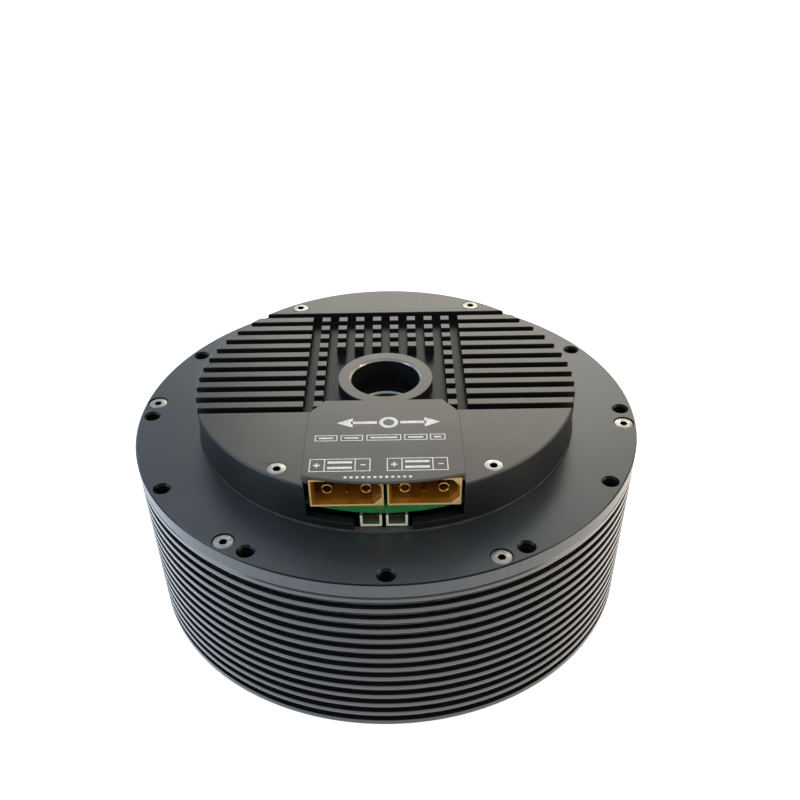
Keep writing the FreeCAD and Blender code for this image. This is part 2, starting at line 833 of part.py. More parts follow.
# Output side: crossed roller bearing, clamp ring, seal, output flange and the hollow shaft
def make_output_bearing():
    middle = "(clamp_height + bearing_top) / 2"
    groove = "sqrt(2) * (roller_radius + roller_play)"
    outer_lip = f"({groove} - outer_race_bore + roller_pitch_radius)"
    turned(
        "bearing_outer_ring",
        [
            ("outer_race_bore", "clamp_height"),
            ("bearing_radius", "clamp_height"),
            ("bearing_radius", "bearing_top"),
            ("outer_race_bore", "bearing_top"),
            ("outer_race_bore", f"{middle} + {outer_lip}"),
            (f"roller_pitch_radius + {groove}", middle),
            ("outer_race_bore", f"{middle} - {outer_lip}"),
        ],
    )
    inner_lip = f"({groove} - roller_pitch_radius + inner_race_radius)"
    turned(
        "bearing_inner_ring",
        [
            ("inner_race_bore", "clamp_height"),
            ("inner_race_radius", "clamp_height"),
            ("inner_race_radius", f"{middle} - {inner_lip}"),
            (f"roller_pitch_radius - {groove}", middle),
            ("inner_race_radius", f"{middle} + {inner_lip}"),
            ("inner_race_radius", "bearing_top"),
            ("inner_race_bore", "bearing_top"),
        ],
    )
    # Each roller lies at 45 degrees, crossed with its neighbours
    length = size("roller_length")
    rollers = []
    for lean in (1, -1):
        axis = Vector(1, 0, lean).normalize()
        centre = Vector(size("roller_pitch_radius"), 0, size(middle))
        roller = Part.makeCylinder(size("roller_radius"), length, centre - axis * (length / 2), axis)
        count = int(size("roller_count"))
        start = 0 if lean > 0 else 360 / count
        rollers += spaced(roller, count // 2, start)
    group("crossed_rollers", rollers)


def make_clamp_ring():
    body = ring("bearing_clamp_ring", "clamp_inner_radius", "clamp_radius", "0", "clamp_height")
    head = "clamp_head_radius + 0.05"
    seat = [
        ("0", "-1"),
        (head, "-1"),
        (head, "clamp_head_depth"),
        ("clamp_screw_shank", "clamp_head_depth"),
        ("clamp_screw_shank", "clamp_height + 1"),
        ("0", "clamp_height + 1"),
    ]
    first = size("first_screw_angle")
    drill(body, "clamp_screw_seat", "clamp_screw_radius", seat, "clamp_screw_count", first)
    ring("output_seal", "flange_lip_radius + seal_play", "clamp_inner_radius", "seal_bottom", "seal_top")


def make_output_flange():
    floor = "flange_bottom + pilot_depth"
    foot_top = f"{floor} + foot_height"
    body = turned(
        "output_flange",
        [
            ("pilot_radius", "flange_bottom"),
            ("flange_lip_radius", "flange_bottom"),
            ("flange_lip_radius", "clamp_height"),
            ("inner_race_bore", "clamp_height"),
            ("inner_race_bore", "flange_top"),
            ("tube_radius", "flange_top"),
            ("tube_radius", foot_top),
            ("foot_radius", foot_top),
            ("foot_radius", floor),
            ("pilot_radius", floor),
        ],
    )
    tapped = plain_hole("output_hole_tap", "flange_bottom - 1", "flange_bottom + output_hole_depth")
    first = size("first_screw_angle")
    drill(body, "output_hole", "output_hole_circle", tapped, "output_hole_count", first)
    dowel = plain_hole("dowel_radius", "flange_bottom - 1", "flange_bottom + dowel_depth")
    drill(body, "dowel_hole", "output_hole_circle", dowel, "2")
    screw = plain_hole("clamp_screw_shank", f"{foot_top} - 1", f"{foot_top} + 6")
    first = size("foot_screw_angle")
    drill(body, "foot_screw_hole", "foot_screw_radius", screw, "foot_screw_count", first)
    pin = plain_hole("low_pin_radius", "low_pin_bottom", "flange_top + 1")
    drill(body, "pin_hole", planet_circle, pin, "planet_count", size("first_planet_angle"))


def make_hollow_shaft():
    floor = "flange_bottom + pilot_depth"
    foot_top = f"{floor} + foot_height"
    body = turned(
        "hollow_shaft",
        [
            ("tube_bore", floor),
            ("foot_radius", floor),
            ("foot_radius", foot_top),
            ("tube_radius", foot_top),
            ("tube_radius", "tube_top"),
            ("tube_bore", "tube_top"),
        ],
    )
    seat = [
        ("0", f"{floor} - 1"),
        ("clamp_head_radius", f"{floor} - 1"),
        ("clamp_head_radius", f"{floor} + foot_head_depth"),
        ("clamp_screw_shank", f"{floor} + foot_head_depth"),
        ("clamp_screw_shank", f"{foot_top} + 1"),
        ("0", f"{foot_top} + 1"),
    ]
    first = size("foot_screw_angle")
    drill(body, "foot_screw_seat", "foot_screw_radius", seat, "foot_screw_count", first)
    ring("hollow_shaft_bush", "tube_radius + pin_play", "bush_seat_radius", "bush_bottom", "bush_top")


# Gear outlines. Each flank is an arc through three points: at the root, on the pitch circle and at the tip.
def flank_angle(radius, teeth, thickness):
    """Half the angle that a tooth fills at a radius, by the involute formula."""
    pitch_radius = size("gear_module") * teeth / 2
    pressure = math.radians(size("pressure_angle"))
    base_radius = pitch_radius * math.cos(pressure)
    local = math.acos(min(1, base_radius / radius))
    unwound = math.tan(pressure) - pressure - math.tan(local) + local
    return thickness / (2 * pitch_radius) + unwound


def gear_face(teeth, root_radius, tip_radius, thickness):
    """A flat toothed disc, with one tooth centred on +X."""
    pitch_radius = size("gear_module") * teeth / 2
    edges = []
    corners = []
    for tooth in range(teeth):
        centre = 2 * math.pi * tooth / teeth
        for side in (-1, 1):
            radii = [root_radius, pitch_radius, tip_radius]
            if side > 0:
                radii.reverse()
            points = []
            for radius in radii:
                angle = centre + side * flank_angle(radius, teeth, thickness)
                points.append(Vector(radius * math.cos(angle), radius * math.sin(angle), 0))
            edges.append(Part.Arc(*points).toShape())
            corners += [points[0], points[-1]]
    for index in range(1, len(corners), 2):
        following = corners[(index + 1) % len(corners)]
        edges.append(Part.makeLine(corners[index], following))
    return Part.Face(Part.Wire(Part.__sortEdges__(edges)))


def external_gear(teeth, bottom, top, bore):
    module = size("gear_module")
    pitch_radius = module * teeth / 2
    thickness = math.pi * module / 2 - size("tooth_thinning")
    face = gear_face(teeth, pitch_radius - 1.25 * module, pitch_radius + module, thickness)
    face.translate(Vector(0, 0, bottom))
    solid = face.extrude(Vector(0, 0, top - bottom))
    return solid.cut(Part.makeCylinder(bore, top - bottom, Vector(0, 0, bottom)))


def make_ring_gear():
    teeth = int(size("ring_teeth"))
    module = size("gear_module")
    bottom = size("ring_gear_bottom")
    length = size("shield_level") - bottom
    pitch_radius = module * teeth / 2
    spaces = gear_face(
        teeth,
        pitch_radius - 0.95 * module,
        pitch_radius + 1.25 * module,
        math.pi * module / 2 + size("tooth_thinning"),
    )
    spaces.rotate(Vector(), Vector(0, 0, 1), 180 / teeth)
    spaces.translate(Vector(0, 0, bottom))
    blank = Part.makeCylinder(size("ring_gear_radius"), length, Vector(0, 0, bottom))
    group("ring_gear", [blank.cut(spaces.extrude(Vector(0, 0, length)))])


def make_sun_gear(label, bottom, top, spigot_top):
    """A sun gear, one tooth centred on +X, with the plain spigot that carries it."""
    bore = size("sun_bore")
    gear = external_gear(int(size("sun_teeth")), size(bottom), size(top), bore)
    height = size(f"{spigot_top} - {top}")
    spigot = Part.makeCylinder(size("spigot_radius"), height, Vector(0, 0, size(top)))
    spigot = spigot.cut(Part.makeCylinder(bore, height, Vector(0, 0, size(top))))
    group(label, [gear.fuse(spigot)])


def make_planets(stage, bottom, top, pin, bush):
    """Three planets in mesh with the ring and the sun, each on a bush that turns on its pin."""
    ring_teeth = size("ring_teeth")
    planet_teeth = size("planet_teeth")
    count = int(size("planet_count"))
    gear = external_gear(int(planet_teeth), size(bottom), size(top), size(bush))
    height = size(f"{top} - {bottom}")
    lower = Vector(0, 0, size(bottom))
    sleeve = Part.makeCylinder(size(bush), height, lower)
    sleeve = sleeve.cut(Part.makeCylinder(size(f"{pin} + pin_play"), height, lower))
    for index in range(count):
        angle = size("first_planet_angle") + 360 * index / count
        in_mesh = angle * (1 - ring_teeth / planet_teeth) + 180 / planet_teeth
        radius = size(planet_circle)
        centre = Vector(
            radius * math.cos(math.radians(angle)), radius * math.sin(math.radians(angle)), 0
        )
        place = Placement(centre, Rotation(Vector(0, 0, 1), in_mesh))
        group(f"{stage}_planet_{index + 1}", [gear.copy()], place)
        group(f"{stage}_planet_bush_{index + 1}", [sleeve.copy()], place)


def make_carriers():
    first = size("first_planet_angle")
    count = int(size("planet_count"))
    radius = size(planet_circle)
    low = ring(
        "low_carrier_plate", "low_carrier_bore", "carrier_radius", "low_carrier_bottom", "low_carrier_top"
    )
    through = plain_hole("low_pin_radius", "low_carrier_bottom - 1", "low_carrier_top + 1")
    drill(low, "low_pin_hole", planet_circle, through, "planet_count", first)
    high = ring(
        "high_carrier", "spigot_radius", "carrier_radius", "high_carrier_bottom", "high_carrier_top"
    )
    through = plain_hole("high_pin_radius", "high_carrier_bottom - 1", "high_carrier_top + 1")
    drill(high, "high_pin_hole", planet_circle, through, "planet_count", first)

    for label, pin, bottom, top in (
        ("low_planet_pins", "low_pin_radius", "low_pin_bottom", "low_carrier_top"),
        ("high_planet_pins", "high_pin_radius", "high_carrier_bottom", "high_pin_top"),
    ):
        place = Vector(radius, 0, size(bottom))
        shaft = Part.makeCylinder(size(pin), size(f"{top} - {bottom}"), place)
        group(label, spaced(shaft, count, first))
    washer = turned_solid(
        [
            (size("high_pin_radius"), size("washer_bottom")),
            (size("washer_radius"), size("washer_bottom")),
            (size("washer_radius"), size("high_pin_top")),
            (size("high_pin_radius"), size("high_pin_top")),
        ],
        radius,
    )
    group("high_pin_washers", spaced(washer, count, first))


# Motor: end shield, slotted stator with its coils, and the rotor on two ball bearings
def make_motor_shield():
    top = "shield_level + shield_thickness"
    turned(
        "motor_end_shield",
        [
            ("shield_lip_radius", "shield_level"),
            ("bearing_radius", "shield_level"),
            ("bearing_radius", top),
            ("lower_seat_radius + lower_seat_wall", top),
            ("lower_seat_radius + lower_seat_wall", "lower_seat_top"),
            ("lower_seat_radius", "lower_seat_top"),
            ("lower_seat_radius", "lower_seat_bottom"),
            ("shield_lip_radius", "lower_seat_bottom"),
        ],
    )


def make_stator():
    body = new_body("stator_core")
    sketch = new_sketch(body, "yoke_outline", "XY_Plane", "stator_bottom")
    circle(sketch, "0", "0", "bearing_radius")
    circle(sketch, "0", "0", "stator_yoke")
    pad(body, "yoke", sketch, "stator_top - stator_bottom")
    sketch = new_sketch(body, "tooth_outline", "XY_Plane", "stator_bottom")
    rectangle(sketch, "stator_bore", "-1 * tooth_width / 2", "stator_yoke + 1", "tooth_width / 2")
    tooth = pad(body, "tooth", sketch, "stator_top - stator_bottom")
    around(body, "teeth", tooth, "tooth_count")

    half = size("coil_width") / 2
    turn = size("coil_turn")
    bottom = size("stator_bottom")
    top = size("stator_top")
    inner = size("coil_inner")
    outer = size("coil_outer")
    tooth_half = size("tooth_width") / 2
    coil = block((inner, -half, bottom - turn), (outer, half, top + turn))
    coil = coil.cut(block((inner - 1, -tooth_half, bottom), (outer + 1, tooth_half, top)))
    group("stator_coils", spaced(coil, int(size("tooth_count"))))


def make_rotor():
    body = turned(
        "rotor_hub",
        [
            ("spigot_radius", "lower_seat_bottom + 0.2"),
            ("lower_journal", "lower_seat_bottom + 0.2"),
            ("lower_journal", "rotor_bottom"),
            ("rotor_iron_inner", "rotor_bottom"),
            ("rotor_iron_inner", "rotor_disc_top"),
            ("upper_journal", "rotor_disc_top"),
            ("upper_journal", "upper_seat_top - 0.2"),
            ("sun_bore", "upper_seat_top - 0.2"),
            ("sun_bore", "lower_seat_top"),
            ("spigot_radius", "lower_seat_top"),
        ],
    )
    hole = plain_hole("rotor_hole_radius", "rotor_bottom - 1", "rotor_disc_top + 1")
    drill(body, "lightening_hole", "rotor_hole_circle", hole, "rotor_hole_count")
    ring("rotor_iron", "rotor_iron_inner", "rotor_iron_outer", "rotor_bottom", "rotor_top")

    span = size("magnet_angle")
    bottom = size("rotor_bottom") + 0.5
    top = size("rotor_top") - 0.5
    inner = size("rotor_iron_outer")
    outer = size("magnet_radius")
    corners = [(inner, bottom), (outer, bottom), (outer, top), (inner, top), (inner, bottom)]
    section = Part.Face(Part.makePolygon([Vector(radius, 0, height) for radius, height in corners]))
    magnet = section.revolve(Vector(), Vector(0, 0, 1), span)
    group("rotor_magnets", spaced(magnet, int(size("magnet_count")), -span / 2))
    ring(
        "encoder_magnet_ring", "encoder_inner", "encoder_outer", "rotor_disc_top", "encoder_magnet_top"
    )

    board_bottom = size("encoder_board_bottom")
    inner = size("encoder_inner")
    board_corners = [
        (inner, board_bottom),
        (size("encoder_board_outer"), board_bottom),
        (size("encoder_board_outer"), size("housing_height")),
        (inner, size("housing_height")),
    ]
    chip = block((inner + 0.3, -2, board_bottom - 1.2), (inner + 4.3, 2, board_bottom))
    group("encoder_board", [turned_solid(board_corners), chip])


def make_rotor_bearings():
    """Two ball bearings. The balls and cage of each are one ring beside its outer ring."""
    for label, journal, seat, bottom, top, inner_bottom, inner_top in (
        (
            "lower_rotor_bearing",
            "lower_journal",
            "lower_seat_radius",
            "lower_seat_bottom",
            "lower_seat_top",
            "lower_seat_bottom + 0.4",
            "rotor_bottom",
        ),
        (
            "upper_rotor_bearing",
            "upper_journal",
            "rotor_seat_radius",
            "upper_seat_level",
            "upper_seat_top",
            "rotor_disc_top",
            "upper_seat_top - 0.3",
        ),
    ):
        ring(f"{label}_inner_ring", journal, f"{journal} + 1.9", inner_bottom, inner_top)
        outer = size(seat)
        low = size(bottom)
        high = size(top)
        race = [(outer - 2, low), (outer, low), (outer, high), (outer - 2, high)]
        cage_inner = size(journal) + 2
        cage = [
            (cage_inner, low + 0.9),
            (outer - 2.05, low + 0.9),
            (outer - 2.05, high - 0.7),
            (cage_inner, high - 0.7),
        ]
        group(f"{label}_outer_ring", [turned_solid(race), turned_solid(cage)])


# Fasteners: each set is one object of separate, equal screws
def make_screws():
    shank = size("screw_shank_radius")
    head = size("screw_head_radius")
    depth = size("screw_head_depth")
    seat = size("housing_height + plate_thickness - screw_recess_depth")
    foot = size("housing_height - screw_thread_length")
    corners = [(0, foot), (shank, foot), (shank, seat - depth), (head, seat), (0, seat)]
    screw = turned_solid(corners, size("plate_screw_radius"))
    group("plate_screws", spaced(screw, int(size("plate_screw_count")), size("plate_screw_angle")))

    head = size("cover_head_radius")
    top = size("cover_top")
    foot = size("coil_recess_top") + 0.4
    corners = [(0, foot), (shank, foot), (shank, top - depth), (head, top), (0, top)]
    across = size("cover_screw_x")
    back = size("cover_screw_y")
    places = [(side * across, end * back) for side in (-1, 1) for end in (-1, 1)]
    group("cover_screws", [turned_solid(corners, x, y) for x, y in places])

    shank = size("clamp_screw_shank")
    head = size("clamp_head_radius")
    depth = size("clamp_head_depth")
    top = size("clamp_height") + 7
    corners = [(0, 0.3), (head, 0.3), (head, depth), (shank, depth), (shank, top), (0, top)]
    screw = turned_solid(corners, size("clamp_screw_radius"))
    group("clamp_screws", spaced(screw, int(size("clamp_screw_count")), size("first_screw_angle")))

    floor = size("flange_bottom + pilot_depth")
    top = floor + size("foot_height") + 5
    head -= 0.05
    depth = size("foot_head_depth")
    corners = [
        (0, floor + 0.2),
        (head, floor + 0.2),
        (head, floor + depth),
        (shank, floor + depth),
        (shank, top),
        (0, top),
    ]
    screw = turned_solid(corners, size("foot_screw_radius"))
    group("foot_screws", spaced(screw, int(size("foot_screw_count")), size("foot_screw_angle")))


planet_circle = "gear_module * (sun_teeth + planet_teeth) / 2"

make_housing()
make_rear_plate()
ring(
    "plate_seal", "seal_inner_radius", "seal_outer_radius", "housing_height - seal_depth", "housing_height"
)
make_driver_cover()
ring(
    "cover_gasket",
    "gasket_inner_radius",
    "gasket_radius",
    "housing_height + plate_thickness - register_depth",
    "housing_height + plate_thickness + gasket_thickness",
)
make_connector_lid()
make_driver_board()
make_power_connector("power_connector_left", -1)
make_power_connector("power_connector_right", 1)
make_contacts()
make_signal_sockets()
make_output_bearing()
make_clamp_ring()
make_output_flange()
make_hollow_shaft()
make_ring_gear()
make_sun_gear("low_sun_gear", "ring_gear_bottom", "low_planet_top", "high_carrier_top")
make_sun_gear("high_sun_gear", "high_planet_bottom", "high_planet_top", "lower_seat_top")
make_planets("low", "ring_gear_bottom", "low_planet_top", "low_pin_radius", "low_bush_radius")
make_planets("high", "high_planet_bottom", "high_planet_top", "high_pin_radius", "high_bush_radius")
make_carriers()
make_motor_shield()
make_stator()
make_rotor()
make_rotor_bearings()
make_screws()

doc.recompute()
for item in doc.Objects:
    if "Invalid" in item.State or "Error" in item.State:
        raise RuntimeError(f"{item.Name} failed: {item.State}")
for part in sub_parts:
    if part.Shape.isNull() or not part.Shape.isValid():
        raise RuntimeError(f"{part.Label} has no valid shape")
for part in sub_parts:
    part.Shape.exportStep(f"parts/{part.Label}.step")
    box = part.Shape.BoundBox
    print(f"{part.Label}: {len(part.Shape.Solids)} solid, z {box.ZMin:.1f} to {box.ZMax:.1f}")
print(f"{len(sub_parts)} sub-parts")
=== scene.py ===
import json
import math

import bmesh
import bpy
import numpy as np
from mathutils import Matrix, Vector


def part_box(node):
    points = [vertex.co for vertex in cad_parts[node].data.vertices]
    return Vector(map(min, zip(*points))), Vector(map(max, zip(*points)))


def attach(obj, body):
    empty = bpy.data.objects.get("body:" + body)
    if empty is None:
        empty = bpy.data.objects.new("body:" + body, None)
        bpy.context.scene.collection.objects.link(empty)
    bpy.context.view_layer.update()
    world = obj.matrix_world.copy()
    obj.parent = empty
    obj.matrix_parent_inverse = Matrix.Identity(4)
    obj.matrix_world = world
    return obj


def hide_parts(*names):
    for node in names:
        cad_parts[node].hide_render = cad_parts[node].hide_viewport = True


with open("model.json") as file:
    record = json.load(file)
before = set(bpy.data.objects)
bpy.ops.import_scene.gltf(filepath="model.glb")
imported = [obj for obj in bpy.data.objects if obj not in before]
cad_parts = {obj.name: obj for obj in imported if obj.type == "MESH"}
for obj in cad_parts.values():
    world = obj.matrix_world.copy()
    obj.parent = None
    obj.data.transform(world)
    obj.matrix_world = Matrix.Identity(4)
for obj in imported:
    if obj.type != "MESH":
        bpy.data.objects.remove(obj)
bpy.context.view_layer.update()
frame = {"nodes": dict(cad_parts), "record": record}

# A hollow robot joint actuator. Sizes in the dictionaries are millimetres unless they say otherwise.
mm = 0.001
nodes = frame["nodes"]
print("frame loaded:", len(nodes), "nodes")


# Shader nodes


def toLinear(hexColour):
    # sRGB hex to the linear colour that a node takes
    parts = [int(hexColour[i:i + 2], 16) / 255 for i in (1, 3, 5)]
    return [c / 12.92 if c <= 0.04045 else ((c + 0.055) / 1.055) ** 2.4 for c in parts] + [1]


def outputOf(source):
    # a socket as it is, or the first output of a node
    return source.outputs[0] if isinstance(source, bpy.types.Node) else source


def addNode(tree, kind, settings=None, links=None):
    # One node. Settings are its properties, its inputs by name or number, or the stops of its ramp, each a
    # place with a hex colour or grey level. Links feed its inputs from sockets, or from nodes' first outputs.
    node = tree.nodes.new("ShaderNode" + kind)
    for key, value in (settings or {}).items():
        if key == "stops":
            elements = node.color_ramp.elements
            while len(elements) < len(value):
                elements.new(0.5)
            for element, (spot, shade) in zip(elements, value):
                element.position = spot
                element.color = toLinear(shade) if isinstance(shade, str) else (shade, shade, shade, 1)
        elif isinstance(key, str) and hasattr(node, key):
            setattr(node, key, value)
        else:
            node.inputs[key].default_value = value
    for key, source in (links or {}).items():
        tree.links.new(outputOf(source), node.inputs[key])
    return node


def startMaterial(name, settings):
    # a Principled material; what is the same all over is set on the shader itself
    material = bpy.data.materials.new(name)
    material.use_nodes = True
    tree = material.node_tree
    tree.nodes.clear()
    shader = addNode(tree, "BsdfPrincipled", settings)
    addNode(tree, "OutputMaterial", links={"Surface": shader})
    place = addNode(tree, "TexCoord").outputs["Object"]
    return material, tree, shader, place


def wireFinish(tree, shader, colour, roughness, bumps):
    # Colour and roughness are (source, stops of a ramp), or a socket or node that is ready.
    # Bumps are (height, depth in millimetres), each laid over the one before.
    for name, source in (("Base Color", colour), ("Roughness", roughness)):
        if isinstance(source, tuple):
            source = addNode(tree, "ValToRGB", {"stops": source[1]}, {"Fac": source[0]})
        tree.links.new(outputOf(source), shader.inputs[name])
    under = {}
    for height, depth in bumps:
        bump = addNode(tree, "Bump", {"Distance": depth * mm}, {"Height": height, **under})
        under = {"Normal": bump}
    tree.links.new(bump.outputs[0], shader.inputs["Normal"])


def fromAxis(tree, place):
    # distance from the joint's axis, and height, of each point of a surface
    flat = addNode(tree, "VectorMath", {"operation": "MULTIPLY", 1: (1, 1, 0)}, {0: place})
    radius = addNode(tree, "VectorMath", {"operation": "LENGTH"}, {0: flat}).outputs["Value"]
    height = addNode(tree, "SeparateXYZ", links={0: place}).outputs["Z"]
    return radius, height


# Meshes


def gridFaces(rows, columns, wrapRows, wrapColumns, first=0):
    # quads between neighbouring rows and columns of a grid; wrapping joins the last to the first
    i = np.arange(rows if wrapRows else rows - 1)[:, None]
    j = np.arange(columns if wrapColumns else columns - 1)[None, :]
    corners = [i * columns + j, i * columns + (j + 1) % columns]
    corners += [(i + 1) % rows * columns + (j + 1) % columns, (i + 1) % rows * columns + j]
    return np.stack([c + 0 * i + 0 * j for c in corners], -1).reshape(-1, 4) + first


def mergeDoubles(work):
    # points nearer than 2 micrometres become one, and faces that shrank to nothing go
    bmesh.ops.remove_doubles(work, verts=work.verts, dist=0.002 * mm)
    bmesh.ops.dissolve_degenerate(work, edges=work.edges, dist=0.0001 * mm)


def finishPiece(name, mesh, material, body, replaced=(), sharp=35):
    # doubles merged, faces turned outwards, smooth except where faces meet at more than the sharp angle
    work = bmesh.new()
    work.from_mesh(mesh)
    mergeDoubles(work)
    bmesh.ops.recalc_face_normals(work, faces=work.faces)
    work.to_mesh(mesh)
    work.free()
    mesh.shade_smooth()
    mesh.set_sharp_from_angle(angle=math.radians(sharp))
    mesh.materials.clear()
    mesh.materials.append(material)
    piece = bpy.data.objects.new(name, mesh)
    bpy.context.scene.collection.objects.link(piece)
    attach(piece, body)
    if replaced:
        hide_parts(*replaced)
    return piece


def makePiece(name, grids, material, body, replaced=(), sharp=35, marks=None):
    # grids are (points, wrapRows, wrapColumns) with points in metres, shaped rows x columns x 3;
    # marks are (attribute name, one number for each point)
    points, faces, first = [], [], 0
    for grid, wrapRows, wrapColumns in grids:
        rows, columns = grid.shape[:2]
        points.append(grid.reshape(-1, 3))
        faces.append(gridFaces(rows, columns, wrapRows, wrapColumns, first))
        first += rows * columns
    mesh = bpy.data.meshes.new(name)
    mesh.from_pydata(np.concatenate(points).tolist(), [], np.concatenate(faces).tolist())
    if marks:
        attribute, values = marks
        mesh.attributes.new(attribute, "FLOAT", "POINT").data.foreach_set("value", values.astype(np.float32))
    return finishPiece(name, mesh, material, body, replaced, sharp)


def arc(centre, radius, start, end, steps=4):
    # points of a part of a circle in a profile, angles in degrees
    angle = np.radians(np.linspace(start, end, steps))
    return [(centre[0] + radius * math.cos(a), centre[1] + radius * math.sin(a)) for a in angle]


def turnedGrid(profile, sides, centre=(0, 0), hexWeight=None):
    # A profile of (radius, height) carried round a vertical axis: x and y are the radius times the cosine and
    # sine of the angle. A row's hexWeight blends its circle into a hexagon.
    radius, height = (np.array(profile, float) * mm).T
    angle = np.arange(sides) / sides * 2 * np.pi
    hexagon = np.cos(np.pi / 6) / np.cos(angle % (np.pi / 3) - np.pi / 6)
    weight = np.zeros(len(radius)) if hexWeight is None else np.array(hexWeight, float)
    reach = radius[:, None] * (1 + weight[:, None] * (hexagon - 1))
    x = centre[0] * mm + reach * np.cos(angle)
    y = centre[1] * mm + reach * np.sin(angle)
    return np.stack([x, y, height[:, None] + 0 * x], -1), False, True


def ringOf(radius, count, start):
    # centres of count places spread round the axis from a start angle in degrees
    angle = np.radians(start + np.arange(count) * 360 / count)
    return np.stack([radius * np.cos(angle), radius * np.sin(angle)], -1)


def mergedCopy(node, name):
    # the node's own shape as a clean mesh: triangles joined at their corners, and flat areas made one face
    flatWithin = 0.6  # degrees
    source = nodes[node].data
    points = np.empty(len(source.vertices) * 3)
    source.vertices.foreach_get("co", points)
    corners = np.empty(len(source.loops), np.int32)
    source.loops.foreach_get("vertex_index", corners)
    mesh = bpy.data.meshes.new(name)
    mesh.from_pydata(points.reshape(-1, 3).tolist(), [], corners.reshape(-1, 3).tolist())
    work = bmesh.new()
    work.from_mesh(mesh)
    mergeDoubles(work)
    bmesh.ops.dissolve_limit(work, angle_limit=math.radians(flatWithin), verts=work.verts, edges=work.edges)
    bmesh.ops.triangulate(work, faces=work.faces)
    work.to_mesh(mesh)
    work.free()
    return mesh


def breakEdges(piece, width, angle=40):
    # the small rounding that tumbling or blasting leaves on every edge
    bevel = piece.modifiers.new("brokenEdges", "BEVEL")
    bevel.width = width * mm
    bevel.segments = 2
    bevel.limit_method = "ANGLE"
    bevel.angle_limit = math.radians(angle)
    bevel.harden_normals = True
    bevel.use_clamp_overlap = True


# Camera

cameraPlace = {
    "height": 204.3,  # above the rear plate's face
    "distance": 304.3,  # in front of the axis
    "aside": 4.5,
    "downTilt": 39.93,  # degrees
    "turn": -0.06,
    "roll": -0.88,
    "lens": 41.55,
    "sensor": 36,
    "nearest": 10,  # nothing nearer is drawn
    "riseShift": 0.1375,
}


def makeCamera():
    data = bpy.data.cameras.new("camera")
    data.lens = cameraPlace["lens"]
    data.sensor_width = cameraPlace["sensor"]
    data.shift_y = cameraPlace["riseShift"]
    data.clip_start = cameraPlace["nearest"] * mm
    camera = bpy.data.objects.new("camera", data)
    bpy.context.scene.collection.objects.link(camera)
    turn, tilt, roll = (math.radians(cameraPlace[k]) for k in ("turn", "downTilt", "roll"))
    spot = Vector((cameraPlace["aside"], -cameraPlace["distance"], cameraPlace["height"])) * mm
    spot.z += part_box("rear_plate")[1].z
    facing = Matrix.Rotation(turn, 4, "Z") @ Matrix.Rotation(math.pi / 2 - tilt, 4, "X")
    camera.matrix_world = Matrix.Translation(spot) @ facing @ Matrix.Rotation(roll, 4, "Z")
    bpy.context.scene.camera = camera
    print("camera placed")


# Floor, surroundings and lamps

studio = {
    "floorWidth": 6000,
    "floorBelow": 0.2,
    "floorColour": "#e9e9e9",
    "floorLift": 0.8,
    "roomColour": "#f4f6f8",
    "roomLevel": 0.75,
    # what a reflection sees, from the white walls up to the grey ceiling; places are sines of the rise
    "roomStops": [(0.3, "#ffffff"), (0.46, "#e4e4e2"), (0.6, "#c6c7c6"), (0.7, "#c4cacf"), (0.85, "#b6bec6")],
    "sideTints": ("#dcecff", "#fff3e2"),  # the room is a little cooler on the left than on the right
    "floorTintReach": 0.15,  # metres from the axis
    "roomTintReach": 0.4,  # as the sine of the angle to the side
    # size and place in millimetres; level is the brightness of the lamp's face, where 1 is white
    "backLamp": {"size": (800, 420), "place": (130, 1150, 760), "level": 2.2, "colour": "#fff6e6"},
    "rightLamp": {"size": (500, 1100), "place": (1000, -150, 300), "level": 3.8, "colour": "#ffeedc"},
    "leftLamp": {"size": (500, 1100), "place": (-1000, -250, 300), "level": 3.8, "colour": "#d6e8ff"},
    "aim": (0, 0, 50),
}


def sideTint(tree, across, reach):
    # from the left side's tint to the right side's, over a span that reaches as far each way
    share = addNode(tree, "MapRange", {1: -reach, 2: reach}, {0: across})
    left, right = (toLinear(c) for c in studio["sideTints"])
    return addNode(tree, "Mix", {"data_type": "RGBA", 6: left, 7: right}, {0: share}).outputs[2]


def makeFloor():
    half, below = studio["floorWidth"] * mm / 2, -studio["floorBelow"] * mm
    corners = [(-half, -half, below), (half, -half, below), (half, half, below), (-half, half, below)]
    mesh = bpy.data.meshes.new("studioFloor")
    mesh.from_pydata(corners, [], [(0, 1, 2, 3)])
    floor = bpy.data.objects.new("studioFloor", mesh)
    bpy.context.scene.collection.objects.link(floor)
    material = bpy.data.materials.new("white paper sweep")
    material.use_nodes = True
    tree = material.node_tree
    tree.nodes.clear()
    path = addNode(tree, "LightPath").outputs
    paper = addNode(tree, "BsdfDiffuse", {"Color": toLinear(studio["floorColour"])})
    larger = {"operation": "MAXIMUM"}
    seen = addNode(tree, "Math", larger, {0: path["Is Camera Ray"], 1: path["Is Glossy Ray"]})
    seen = addNode(tree, "Math", larger, {0: seen, 1: path["Is Transmission Ray"]})
    lift = addNode(tree, "Math", {"operation": "MULTIPLY", 1: studio["floorLift"]}, {0: seen})
    place = addNode(tree, "TexCoord").outputs["Object"]
    across = addNode(tree, "SeparateXYZ", links={0: place}).outputs["X"]
    tint = sideTint(tree, across, studio["floorTintReach"])
    glow = addNode(tree, "Emission", links={"Color": tint, "Strength": lift})
    both = addNode(tree, "AddShader", links={0: paper, 1: glow})
    addNode(tree, "OutputMaterial", links={"Surface": both})
    mesh.materials.append(material)


